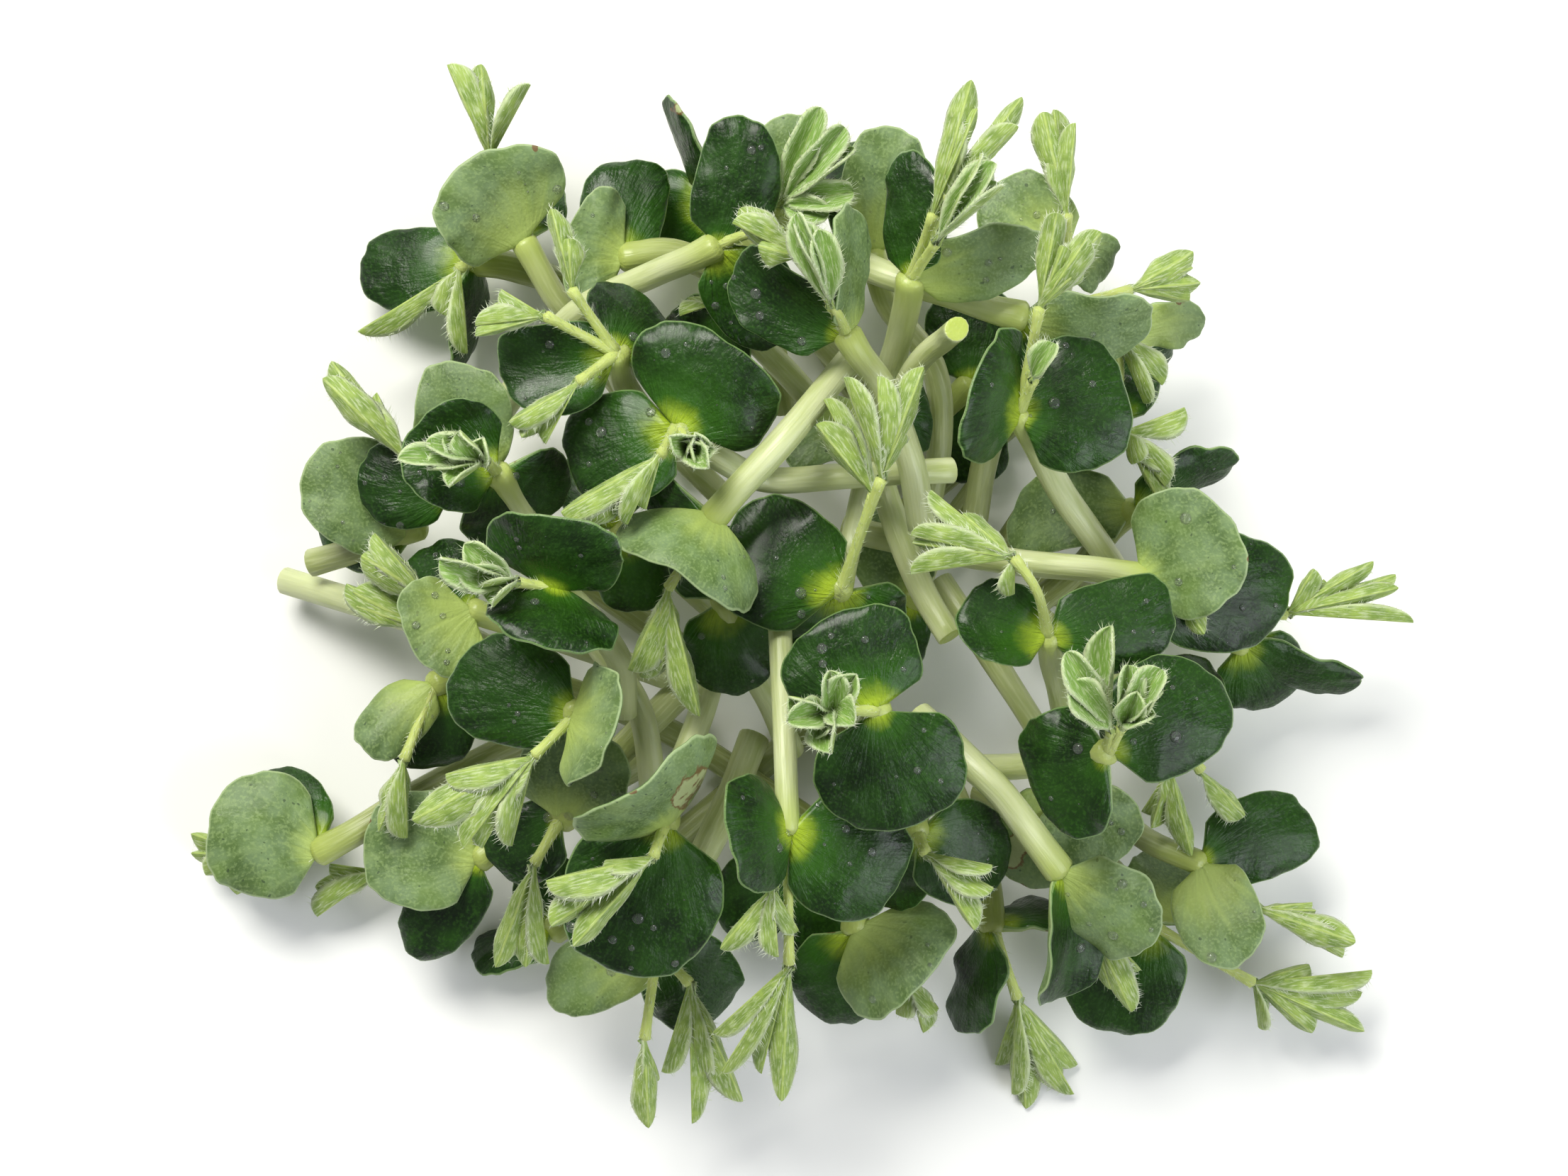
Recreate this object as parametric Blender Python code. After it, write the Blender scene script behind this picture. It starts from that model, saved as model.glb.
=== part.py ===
"""A heap of cut lupin microgreens: each seedling is one solid, with its stem, two thick seed leaves
and young true leaves.

Lengths in this file are in millimetres unless a name says otherwise; the meshes are made in metres.
+X runs to the right of the heap and +Z up, and the heap lies on the plane Z = 0.
"""

import math

import bmesh
import bpy
import numpy as np
from mathutils import Matrix, Vector

# Driving dimensions
MM = 0.001
STEM_RADIUS = 1.75
NODE_SWELL = 1.22
PETIOLE_RADIUS = 0.85
SEED_LEAF_THICKNESS = 1.5
LEAFLET_THICKNESS = 0.9
LEAFLET_WIDTH = 4.6
SEED_LEAF_WIDTH = 20.0
CLEARANCE = 0.55
HOLD = 0.5  # how firmly settling keeps each control at its drawn height
FLOOR_PRESS = 0.15
EYE_HEIGHT = 430.0
PLANE_HEIGHT = 30.0

# How finely the solids are faceted
STEM_SIDES = 4
STEM_STEP = 11.0
OUTLINE_SIDES = 9
MIDLINE = 0.42
LEAST_SPREAD = math.radians(15)
STATION = 0.58


def seed_leaf(x, y, rise, roll=0.0, width=SEED_LEAF_WIDTH, bend=10.0, cup=-16.0):
    """A seed leaf by the middle of its far edge and how much higher that is than the node.
    roll 0 turns its upper face up and 180 its underside; bend curls it along its length and cup across it."""
    return dict(tip=(x, y), rise=rise, roll=roll, width=width, bend=bend, cup=cup)


def leaf(hub, tips, rise=0.0, width=LEAFLET_WIDTH, via=None):
    """A palmate leaf: where its stalk ends, and the tip of each folded leaflet, rise higher than the hub.
    via is a point that the stalk passes on its way."""
    return dict(hub=hub, tips=tips, rise=rise, width=width, via=via)


# Each seedling: its node, where the seed leaves join the stem, the stem's points down to its cut end,
# and what grows from the node.
SEEDLINGS = {
    "seedling_01": dict(
        node=(-35, 46.5, 24),
        stem=[(-31, 39.5, 22), (-28.5, 36.5, 20), (-22, 27, 13), (-14, 17, 8)],
        seed_leaves=[
            seed_leaf(-43.5, 56.5, 7, 180, 21),
            seed_leaf(-37.5, 56, -9, 0, 18),
        ],
        leaves=[leaf((-39.5, 57.5, 24), [(-45.3, 70.3), (-40.7, 70.4), (-34, 67.6)], 2)],
    ),
    "seedling_02": dict(
        node=(-42, 44, 14),
        stem=[(-36, 43, 12), (-28, 40, 9), (-12, 31, 4)],
        seed_leaves=[
            seed_leaf(-57, 43, -4, -10, 13),
            seed_leaf(-43.5, 29.5, -5, 70, 12),
        ],
        leaves=[leaf((-43.5, 43, 20), [(-57.3, 34.5), (-45.3, 36.5), (-42.5, 31.5)], -1)],
    ),
    "seedling_03": dict(
        node=(-21.5, 44.5, 23),
        stem=[(-15, 45, 22), (-8, 42, 18), (2, 36, 12), (10, 28, 8)],
        seed_leaves=[
            seed_leaf(-29.5, 46, 3, 180, 18),
            seed_leaf(-19, 57.6, -4, 0, 13),
        ],
        leaves=[],
    ),
    "seedling_04": dict(
        node=(-9, 46, 40),
        stem=[(-12, 44.5, 39), (-18, 42, 35), (-27, 37.5, 29), (-33, 31, 22), (-38, 24, 15)],
        seed_leaves=[
            seed_leaf(-5.5, 63.3, 2, 0, 13),
            seed_leaf(1, 33.5, -5, -20, 13, cup=30),
        ],
        leaves=[leaf((-4.5, 47.8, 43), [(1, 44.5), (0, 48.5)], -1)],
    ),
    "seedling_05": dict(
        node=(-22.5, 31.5, 40),
        stem=[(-21.3, 27, 35), (-16, 20, 27), (-8, 12, 20)],
        seed_leaves=[
            seed_leaf(-38.5, 30, -1, 0, 14, cup=50),
            seed_leaf(-16.5, 37, -9, 0, 19),
        ],
        leaves=[
            leaf((-32, 36.5, 46), [(-38, 40.2), (-39.5, 37.6), (-41.5, 35.2), (-41.5, 33.8)], 0, 4),
            leaf((-28.5, 40, 46), [(-31.3, 51), (-29, 47)], 3),
            leaf((-27.5, 27.8, 47), [(-37, 22.3), (-35.3, 20.2), (-32, 19.3)], -2),
        ],
    ),
    "seedling_06": dict(
        node=(8.5, 34, 47),
        stem=[(10, 31.5, 45), (13.5, 26.5, 40), (17, 17, 32), (18.5, 8, 26)],
        seed_leaves=[
            seed_leaf(-6.5, 44.5, -1, 30, 13, cup=50),
            seed_leaf(8, 51.5, 4, 115, 12),
        ],
        leaves=[
            leaf((6.3, 38, 53), [(2, 50.5), (1.2, 48.8), (4.4, 48.3)], 5),
            leaf((2, 44.5, 54), [(-6, 51), (-7, 49), (-3.5, 46)], 0, via=(6.8, 37.5, 53)),
        ],
    ),
    "seedling_08": dict(
        node=(-14.5, 21.5, 43),
        stem=[(-8, 17, 40), (-2, 14.5, 36), (8, 15, 33), (16, 15.5, 31), (22.5, 15.8, 30)],
        seed_leaves=[
            seed_leaf(-6.4, 32.5, 5, 0, 24),
            seed_leaf(-29, 15.5, -3, 0, 17),
        ],
        leaves=[
            leaf((-16.5, 18, 51), [(-30, 10.2), (-26.5, 9), (-21, 8.5), (-18.5, 10.5)], -1, 5),
            leaf((-12.5, 19.5, 47), [(-15.5, 20.5), (-12, 21), (-10, 19), (-12, 16.5), (-10, 16)], 8, 4),
        ],
    ),
    "seedling_09": dict(
        node=(7.5, -0.5, 40),
        stem=[(9, 6, 33), (12, 18, 30), (17.5, 29.5, 35), (21.8, 33.6, 42), (23.2, 34.8, 51)],
        seed_leaves=[
            seed_leaf(-7.5, 8.5, -4, 0, 19.5),
            seed_leaf(10, -8, -11, 0, 19),
        ],
        leaves=[
            leaf((13, 14.5, 50), [(8, 28.3), (12.5, 28.5), (18.8, 29.7), (15.8, 21), (9.5, 24)], 3, 5),
            leaf((12, 12.5, 46), [(4.3, 22), (5.3, 25.3), (8.3, 19.5)], 0),
        ],
    ),
    "seedling_10": dict(
        node=(12.5, -16.5, 52),
        stem=[(12, -15, 44), (8, -8, 32), (0, 2, 20)],
        seed_leaves=[
            seed_leaf(8, -3, 0, 0, 21),
            seed_leaf(16.5, -32, -3, 0, 23),
        ],
        leaves=[
            leaf(
                (6.5, -16.5, 56),
                [(6, -11), (9.8, -11.5), (0.5, -14.5), (0.3, -18), (4, -20.5), (6.5, -22.3), (9.5, -18.5)],
                5,
            )
        ],
    ),
    "seedling_11": dict(
        node=(-9.5, 9.5, 46),
        stem=[(-6.5, 13, 46), (0, 20, 45), (7, 28.5, 41), (9.5, 31.5, 38)],
        seed_leaves=[
            seed_leaf(-14, 1.5, 9, 180, 23, cup=55),
            seed_leaf(-15, 5, -11, 0, 18),
        ],
        leaves=[leaf((-15.5, 0, 41), [(-21, -11), (-19.3, -12), (-15.2, -9), (-11.3, -17.3)], -3, 5.6)],
    ),
    "seedling_12": dict(
        node=(-31, 0, 46),
        stem=[(-27, -3, 38), (-22, -10, 29), (-21.5, -17, 24)],
        seed_leaves=[
            seed_leaf(-28.5, 9.3, 8, 0, 21),
            seed_leaf(-33, -7.7, 9, 0, 20),
        ],
        leaves=[leaf((-36, 0.8, 50), [(-46.2, 4.2), (-43, 6), (-39, -2.6), (-44, 2.5), (-41, 0)], 4)],
    ),
    "seedling_13": dict(
        node=(-38.5, 15.5, 40),
        stem=[(-34, 8, 32), (-26, -6, 24), (-19.5, -16, 22), (-17.5, -27, 17), (-16, -36, 12)],
        seed_leaves=[
            seed_leaf(-32.5, 8.5, -9, 0, 19),
            seed_leaf(-51, 19, 4, 0, 17, cup=45),
        ],
        leaves=[
            leaf(
                (-40, 17, 45),
                [
                    (-52, 17.2), (-48.3, 19.2), (-46, 20.6), (-43.5, 21.3), (-40.3, 20.3), (-48, 15.8),
                    (-45, 13.4),
                ],
                6,
                4,
            )
        ],
    ),
    "seedling_14": dict(
        node=(-44, 14, 28),
        stem=[(-38, 10, 21), (-28, 2, 13), (-14, -8, 4)],
        seed_leaves=[
            seed_leaf(-57.3, 15.5, -2, 0, 13),
            seed_leaf(-43.8, 30.5, 3, 180, 15),
        ],
        leaves=[leaf((-51, 17.5, 34), [(-60.8, 30.5), (-62, 28.2), (-58, 24), (-54.7, 26.3)], -2, 5)],
    ),
    "seedling_15": dict(
        node=(-49, 8.5, 22),
        stem=[(-53, 7, 20), (-58, 5, 17), (-63.5, 3.4, 13)],
        seed_leaves=[
            seed_leaf(-64, 16.5, 3, 180, 17),
            seed_leaf(-62, 12, -8, 0, 16),
        ],
        leaves=[],
    ),
    "seedling_16": dict(
        node=(-42, -3, 32),
        stem=[(-36, -5, 29), (-27, -8, 21), (-16, -12, 13)],
        seed_leaves=[
            seed_leaf(-50, -8.3, 4, 180, 16),
            seed_leaf(-49.5, 4.5, -7, 0, 12),
        ],
        leaves=[
            leaf((-47.5, -1.5, 31), [(-55, 7.4), (-56.8, 4.4), (-55.7, 5.3)], 0, 5),
            leaf((-48.5, -5.5, 28), [(-58.8, 0.6), (-57.5, -2.5), (-58, -0.5)], 0, 5),
        ],
    ),
    "seedling_17": dict(
        node=(-28, -17, 44),
        stem=[(-33, -13, 37), (-42, -7, 28), (-54, -3, 19), (-67, 1, 10)],
        seed_leaves=[
            seed_leaf(-45, -12, -3, 0, 16.5),
            seed_leaf(-22.5, -18.5, 11, 180, 19),
        ],
        leaves=[
            leaf(
                (-33.5, -22.5, 47),
                [(-45.5, -25), (-50, -31.2), (-43, -35), (-40.5, -35), (-36.5, -34.7), (-41, -28)],
                -2,
                5.6,
            )
        ],
    ),
    "seedling_18": dict(
        node=(-47, -13, 22),
        stem=[(-40, -11, 18), (-28, -14, 13), (-14, -20, 10), (-3, -27, 9), (6, -33, 8)],
        seed_leaves=[
            seed_leaf(-56.3, -22.3, 3, 170, 9.5, cup=40),
            seed_leaf(-50, -24, -6, 0, 14),
        ],
        leaves=[leaf((-51, -23, 26), [(-54.5, -32.8), (-50.6, -33.6), (-52.3, -32)], -3)],
    ),
    "seedling_19": dict(
        node=(-62.5, -35.5, 16),
        stem=[(-57, -32.5, 17), (-48, -27, 14), (-34, -20, 9), (-26, -16, 5)],
        seed_leaves=[
            seed_leaf(-77.5, -33, 1, 180, 19, cup=30),
            seed_leaf(-71.3, -25.5, -8, 0, 11),
        ],
        leaves=[leaf((-70, -36, 13), [(-79.7, -33), (-79.7, -35.6), (-77.7, -38.6), (-73.5, -41.2)], -3)],
    ),
    "seedling_20": dict(
        node=(-41, -36.5, 20),
        stem=[(-36, -33, 18), (-27, -28, 13), (-18, -23, 8)],
        seed_leaves=[
            seed_leaf(-56.5, -35, -1, 180, 18),
            seed_leaf(-50.3, -49, -6, 0, 11),
        ],
        leaves=[leaf((-54, -38, 12), [(-63, -40.2), (-62.7, -44.2), (-61, -37)], -3)],
    ),
    "seedling_21": dict(
        node=(-30, -31, 27),
        stem=[(-24, -24, 21), (-14, -14, 12)],
        seed_leaves=[
            seed_leaf(-26, -19, 6, 180, 17),
            seed_leaf(-40, -36, -6, 0, 12),
        ],
        leaves=[leaf((-33.5, -37, 29), [(-38.8, -51), (-34.7, -51), (-31.5, -50.5)], -5)],
    ),
    "seedling_22": dict(
        node=(-16, -31.5, 46),
        stem=[(-15, -27, 38), (-11, -16.5, 27), (-9, -8, 18)],
        seed_leaves=[
            seed_leaf(-22.5, -51.5, -4, 0, 24),
            seed_leaf(-19.5, -26.5, 13, 180, 25, cup=40),
        ],
        leaves=[leaf((-17.5, -36, 50), [(-32, -39.3), (-31.3, -45.5), (-28.3, -48.2), (-24, -36.5)], 1, 6)],
    ),
    "seedling_23": dict(
        node=(-31, -46, 8),
        stem=[(-22, -40, 6), (-10, -30, 3), (4, -18, 1.5)],
        seed_leaves=[
            seed_leaf(-42, -49.5, -3, -50, 11),
            seed_leaf(-33, -36, -2, 0, 11),
        ],
        leaves=[],
    ),
    "seedling_25": dict(
        node=(-17, -48.5, 25),
        stem=[(-13, -40, 21), (-8, -30, 15), (-4, -20, 10)],
        seed_leaves=[
            seed_leaf(-31.5, -55, -6, 180, 12),
            seed_leaf(-8, -57, -9, 0, 15),
        ],
        leaves=[
            leaf((-18.7, -60.5, 29), [(-18.2, -72.6), (-16.7, -66)], -4),
            leaf(
                (-12.8, -53, 29),
                [(-16.5, -65), (-12.4, -72), (-11.5, -68), (-10, -67), (-5.5, -69)],
                -9,
            ),
        ],
    ),
    "seedling_26": dict(
        node=(0.5, -32.5, 44),
        stem=[(0.3, -27, 43), (0, -18, 40), (-0.5, -7, 35), (-1, 4, 28)],
        seed_leaves=[
            seed_leaf(-7.5, -34, 9, 0, 18),
            seed_leaf(16.5, -38.5, -3, 0, 18),
        ],
        leaves=[
            leaf((0.7, -50.5, 40), [(-9.6, -59.7), (-8.5, -65), (-3, -65.3), (-0.3, -69), (-5, -57)], -9, 4),
            leaf((-1.5, -40, 45), [(-8.6, -48.5), (-0.7, -49.6), (2, -46), (-4, -45)], -3, 4),
        ],
    ),
    "seedling_27": dict(
        node=(9.5, -46, 24),
        stem=[(10, -38, 20), (9, -26, 10)],
        seed_leaves=[
            seed_leaf(18, -54, 5, 180, 20, cup=45),
            seed_leaf(7, -58.5, -8, 0, 14),
        ],
        leaves=[leaf((16.5, -52, 18), [(18.7, -59.8), (20.8, -56.5), (15, -57.2)], -3)],
    ),
    "seedling_28": dict(
        node=(18, -33, 34),
        stem=[(17, -27, 27), (14, -20, 20), (11, -10, 12)],
        seed_leaves=[
            seed_leaf(29.5, -38.5, -7, 0, 16),
            seed_leaf(12, -42, -11, 0, 15),
        ],
        leaves=[leaf((19, -35.5, 38), [(28, -37.2), (28.2, -40.3), (25.8, -41.5), (25.6, -46)], 1)],
    ),
    "seedling_29": dict(
        node=(37, -38, 32),
        stem=[(34, -34, 33), (29.5, -28, 34), (25.5, -24, 33), (18, -17, 28)],
        seed_leaves=[
            seed_leaf(49, -48.5, -2, 150, 15, cup=30),
            seed_leaf(35.3, -56, -6, 50, 13, cup=60),
        ],
        leaves=[leaf((40.5, -43.5, 24), [(46.7, -57), (48, -51.3), (44, -54)], -2)],
    ),
    "seedling_30": dict(
        node=(49, -45, 20),
        stem=[(44, -38, 16), (36, -32, 10), (26, -27, 5)],
        seed_leaves=[
            seed_leaf(43, -59.5, -6, 0, 18),
            seed_leaf(53, -36.5, -9, 180, 13),
        ],
        leaves=[
            leaf(
                (63, -53, 16),
                [(79, -51.3), (77.7, -54.3), (78, -59.6), (71, -59.8), (63.7, -59), (70.5, -50.5)],
                -4,
            )
        ],
    ),
    "seedling_31": dict(
        node=(56, -37, 22),
        stem=[(49, -34, 19), (43, -29, 14), (36, -22, 8)],
        seed_leaves=[
            seed_leaf(61.5, -50.5, 4, 180, 13),
            seed_leaf(71.5, -31.5, -5, 0, 13),
        ],
        leaves=[leaf((63.5, -43, 23), [(71, -42.2), (76.8, -47.6), (75, -49.7), (71.5, -43.3)], -2)],
    ),
    "seedling_32": dict(
        node=(43.5, -22, 48),
        stem=[(38, -23, 40), (31, -24, 32), (20, -24, 24)],
        seed_leaves=[
            seed_leaf(32.5, -25.5, -7, 0, 20),
            seed_leaf(59, -13.5, -4, 0, 18),
        ],
        leaves=[
            leaf((44, -19, 52), [(44.2, -5), (38, -8.5), (38.3, -12.7)], 4, 5),
            leaf((45.5, -18.5, 53), [(46, -10.3), (50.8, -11), (51, -14), (50, -17), (47.5, -13.8)], 5, 4.6),
        ],
    ),
    "seedling_33": dict(
        node=(38, -27, 26),
        stem=[(34.5, -20, 25), (32.5, -16.5, 25), (27, -8, 24), (21, 1, 20)],
        seed_leaves=[
            seed_leaf(43, -38, -2, 180, 15),
            seed_leaf(31, -39.5, -5, 180, 14),
        ],
        leaves=[],
    ),
    "seedling_34": dict(
        node=(48, 1.5, 33),
        stem=[(42, 2.5, 35), (36, 3, 35), (31, 3.5, 34), (22, 5, 27), (8, 8, 16)],
        seed_leaves=[
            seed_leaf(61, 7.5, 5, 180, 20),
            seed_leaf(68, -0.7, -6, 0, 18.5),
        ],
        leaves=[
            leaf((53.5, -1.5, 34), [(56.5, -6.2), (55, -4)], 0, 3.6),
            leaf(
                (67.5, -3.5, 24),
                [(71.2, 2.6), (72.5, 1.2), (79.2, 3.6), (82.2, 1.8), (82.6, 0), (84.6, -4.7)],
                2,
                3.6,
                via=(58, -3, 24),
            ),
        ],
    ),
    "seedling_35": dict(
        node=(35.5, -6.5, 44),
        stem=[(36, -10, 34), (37, -14, 29), (38, -19, 22)],
        seed_leaves=[
            seed_leaf(52.5, -2, -3, 0, 14),
            seed_leaf(23.5, -3, 2, -15, 13, cup=50),
        ],
        leaves=[
            leaf(
                (31, 4, 51),
                [(19.8, 13.2), (17, 7), (17.2, 6), (17, 1.8), (31, -0.8), (24, 10)],
                -2,
                via=(34, -0.5, 49.5),
            )
        ],
    ),
    "seedling_36": dict(
        node=(31.5, 23.5, 44),
        stem=[(34, 19, 38), (37.5, 12.5, 32), (43.5, 4, 26), (46, -1, 22)],
        seed_leaves=[
            seed_leaf(24.8, 25.5, 9, 0, 21),
            seed_leaf(46.5, 25, -1, 0, 20.5),
        ],
        leaves=[
            leaf((34.3, 37.5, 52), [(36.7, 50.4), (40.7, 47.1), (42.7, 47.8), (40.4, 43.6), (37.5, 46)], 3),
            leaf((33.5, 28, 49), [(36.6, 32.6)], 2, 4),
        ],
    ),
    "seedling_37": dict(
        node=(17, 41.5, 44),
        stem=[(16.5, 38, 42), (15, 32, 37), (13, 26, 32), (10, 17, 25)],
        seed_leaves=[
            seed_leaf(17, 58.5, 3, 25, 10.5),
            seed_leaf(35, 46.5, 0, 150, 12),
        ],
        leaves=[
            leaf((20, 50, 52), [(25.2, 68.3), (26, 64.5), (22.5, 64)], 2, 5),
            leaf((22, 53, 53), [(32, 66), (31.5, 62)], 2),
            leaf((20.5, 46.5, 51), [(26.5, 58.5), (28.6, 57), (29.6, 53.8)], 5),
        ],
    ),
    "seedling_38": dict(
        node=(12, 45, 28),
        stem=[(14, 38, 26), (20, 30, 23), (21, 20, 19), (19, 8, 13)],
        seed_leaves=[
            seed_leaf(15, 62, 3, 180, 13),
            seed_leaf(10, 60, -9, 0, 14),
        ],
        leaves=[],
    ),
    "seedling_39": dict(
        node=(32, 36.5, 38),
        stem=[(28, 37.5, 38), (22, 39.5, 37), (14, 42, 36), (5, 46, 34), (-6, 51, 29)],
        seed_leaves=[
            seed_leaf(49.5, 36.5, -4, 150, 12),
            seed_leaf(42, 30, -10, 0, 14),
        ],
        leaves=[leaf((46.5, 40, 30), [(55, 45.2), (56, 41), (54.5, 38.6), (55, 43)], -3)],
    ),
    "seedling_40": dict(
        node=(-1, 50.5, 33),
        stem=[(-2, 44, 29), (-2, 36, 22), (0, 24, 15)],
        seed_leaves=[
            seed_leaf(3, 63.5, 1, 180, 12),
            seed_leaf(-3, 62, -8, 0, 12),
        ],
        leaves=[leaf((-0.5, 51.5, 37), [(5, 64.6), (8, 62), (9.6, 58.8), (9.2, 53.2), (6, 50)], 3, 4.4)],
    ),
    "seedling_41": dict(
        node=(38, 45, 26),
        stem=[(36, 38, 23), (30, 26, 19), (27, 17, 17), (25.5, 8, 14)],
        seed_leaves=[
            seed_leaf(28, 54, 0, 180, 14),
            seed_leaf(43, 41.5, -5, 180, 9),
        ],
        leaves=[leaf((38, 50, 32), [(34.8, 64), (36.2, 64.3), (37.7, 60.5), (39.2, 62.5)], 2)],
    ),
    "seedling_42": dict(
        node=(46, 34, 20),
        stem=[(38, 28, 14), (28, 20, 8), (16, 10, 3)],
        seed_leaves=[
            seed_leaf(56.5, 35.5, -4, 150, 8),
            seed_leaf(51, 29.5, -7, 0, 9),
        ],
        leaves=[],
    ),
    "seedling_43": dict(
        node=(43, 22, 30),
        stem=[(38, 17, 22), (34, 12, 14), (30, 6, 8)],
        seed_leaves=[
            seed_leaf(33, 24, -9, 0, 13),
            seed_leaf(44, 33, -8, 0, 14),
        ],
        leaves=[
            leaf((44.5, 34, 34), [(50.8, 27.2), (48.3, 24.8)], -3, via=(45, 28, 30)),
            leaf((45.5, 21, 32), [(53.8, 24.3), (52.3, 17.2), (51.2, 13.6), (50.7, 11), (46.7, 16.6)], 0, 5),
        ],
    ),
    "seedling_44": dict(
        node=(47, 10.5, 24),
        stem=[(44, 8, 20), (40, 3, 13), (34, -2, 7)],
        seed_leaves=[
            seed_leaf(60.5, 18, 3, -50, 10),
            seed_leaf(30, 7.5, -6, 170, 12),
        ],
        leaves=[],
    ),
    "seedling_45": dict(
        node=(62, -7, 19),
        stem=[(54, -5, 16), (44, -2, 9), (34, 0, 3)],
        seed_leaves=[
            seed_leaf(77.5, -13, -5, -45, 8),
            seed_leaf(67, -15, -7, 0, 14),
        ],
        leaves=[],
    ),
    "seedling_47": dict(
        node=(53, -20, 28),
        stem=[(46, -14, 21), (39, -8, 14), (32, -2, 8)],
        seed_leaves=[
            seed_leaf(53, -9, -8, 0, 14),
            seed_leaf(44, -14, -9, 0, 14),
        ],
        leaves=[
            leaf((52, -24, 28), [(48, -30), (49.3, -32.3), (54.8, -36), (53, -30)], -5),
            leaf((56, -24.5, 26), [(62, -30.5)], -4),
        ],
    ),
    "seedling_48": dict(
        node=(28, -45.5, 18),
        stem=[(27, -38, 15), (22, -26, 8)],
        seed_leaves=[
            seed_leaf(23.5, -59.5, -6, -50, 12),
            seed_leaf(36, -42, -8, 60, 11),
        ],
        leaves=[
            leaf(
                (31.3, -55, 14),
                [(28.3, -64), (30.6, -68), (32.5, -70), (39.5, -64), (39, -68), (37.3, -67.6)],
                -8,
            )
        ],
    ),
    "seedling_52": dict(
        node=(-8, -1.5, 34),
        stem=[(-6, -8, 27), (-2, -15, 20), (1, -22, 14)],
        seed_leaves=[
            seed_leaf(-5.5, -14, -5, 0, 14),
            seed_leaf(-10, 8, -8, 0, 14),
        ],
        leaves=[],
    ),
    "seedling_53": dict(
        node=(3, -38, 17),
        stem=[(6, -30, 12), (9, -18, 6), (11, -8, 3)],
        seed_leaves=[
            seed_leaf(6, -50, -3, 0, 12),
            seed_leaf(-8.5, -45, -4, 0, 13),
        ],
        leaves=[],
    ),
    "seedling_55": dict(
        node=(12, 22, 26),
        stem=[(13, 15, 24), (16, 6, 24), (19, -1, 26), (22.3, -6.5, 29)],
        seed_leaves=[
            seed_leaf(0, 18, -2, 150, 11),
            seed_leaf(20, 23, -4, 0, 13),
        ],
        leaves=[],
    ),
    "seedling_56": dict(
        node=(-7, 37, 31),
        stem=[(-4, 33.5, 30), (3, 26, 27), (10, 16, 22), (18, 4, 14)],
        seed_leaves=[
            seed_leaf(-14, 30, -8, 0, 14),
            seed_leaf(0, 44, -7, 0, 13),
        ],
        leaves=[leaf((-10, 38, 32), [(-14, 36.5), (-13, 39)], 0, 3)],
    ),
    "seedling_57": dict(
        node=(-9.5, 51, 15),
        stem=[(-4, 45, 13), (4, 35, 9), (10, 26, 5)],
        seed_leaves=[
            seed_leaf(-15.5, 66, 6, 72, 10),
            seed_leaf(-19, 47.5, -3, 0, 13),
        ],
        leaves=[],
    ),
    "seedling_58": dict(
        node=(25, 27.5, 13),
        stem=[(20, 22, 10), (12, 14, 6)],
        seed_leaves=[
            seed_leaf(24.5, 41, -1, 0, 14),
            seed_leaf(26.5, 14, -5, 0, 12),
        ],
        leaves=[],
    ),
    "seedling_59": dict(
        node=(17, -2, 19),
        stem=[(20, 5, 15), (26, 13, 8)],
        seed_leaves=[
            seed_leaf(11, 10, 2, 180, 12),
            seed_leaf(14, -12, -4, 0, 11),
        ],
        leaves=[],
    ),
    "seedling_60": dict(
        node=(-22, 8, 22),
        stem=[(-17, 4, 18), (-8, -4, 12), (2, -12, 6)],
        seed_leaves=[
            seed_leaf(-19, -3, -2, 0, 12),
            seed_leaf(-27, 19, -5, 0, 12),
        ],
        leaves=[],
    ),
}


def clear_scene():
    for item in list(bpy.data.objects):
        bpy.data.objects.remove(item, do_unlink=True)


def seen_at(points):
    """Move points from where they are seen on the plane of the heap's middle to their own heights."""
    scale = (EYE_HEIGHT - points[:, 2:3]) / (EYE_HEIGHT - PLANE_HEIGHT)
    return np.hstack([points[:, :2] * scale, points[:, 2:3]])


def unit(vector):
    return vector / max(np.linalg.norm(vector), 1e-9)


# Controls: the heights that settling may change, one list for each seedling
def plan(name, spec, seed):
    """Number the controls of one seedling and draw the small differences between its leaves."""
    draw = np.random.default_rng(seed)
    spots = [spec["node"]] + spec["stem"]
    node_height = spec["node"][2]
    stem = list(range(len(spots)))
    seed_leaves = []
    for item in spec["seed_leaves"]:
        tip = len(spots)
        spots.append((*item["tip"], node_height + item["rise"]))
        spots += [(0, 0, 0)] * 3
        seed_leaves.append(
            dict(
                item,
                index=tip,
                lifts=[tip + 1, tip + 2, tip + 3],
                wave=draw.uniform(0.3, 0.9),
                turns=draw.uniform(1.2, 2.1),
                phase=draw.uniform(0, 2 * math.pi),
                skew=draw.uniform(-1.4, 1.4),
            )
        )
    leaves = []
    for item in spec["leaves"]:
        path = [0]
        if item["via"]:
            path.append(len(spots))
            spots.append(item["via"])
        path.append(len(spots))
        spots.append(item["hub"])
        tips = []
        for x, y in item["tips"]:
            tips.append(
                dict(
                    index=len(spots),
                    width=item["width"] * draw.uniform(0.9, 1.08),
                    fold=draw.uniform(24, 46),
                    roll=draw.uniform(-38, 38),
                    arch=draw.uniform(0.04, 0.11),
                )
            )
            spots.append((x, y, item["hub"][2] + item["rise"] + draw.uniform(-1.2, 1.2)))
        leaves.append(dict(path=path, tips=tips))
    spots = np.array(spots, float)
    return dict(
        name=name,
        places=spots[:, :2],
        heights=spots[:, 2].copy(),
        stem=stem,
        seed_leaves=seed_leaves,
        leaves=leaves,
        radius=STEM_RADIUS * draw.uniform(0.92, 1.12),
    )


def control(seedling, index):
    return np.array([*seedling["places"][index], seedling["heights"][index]])


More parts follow.
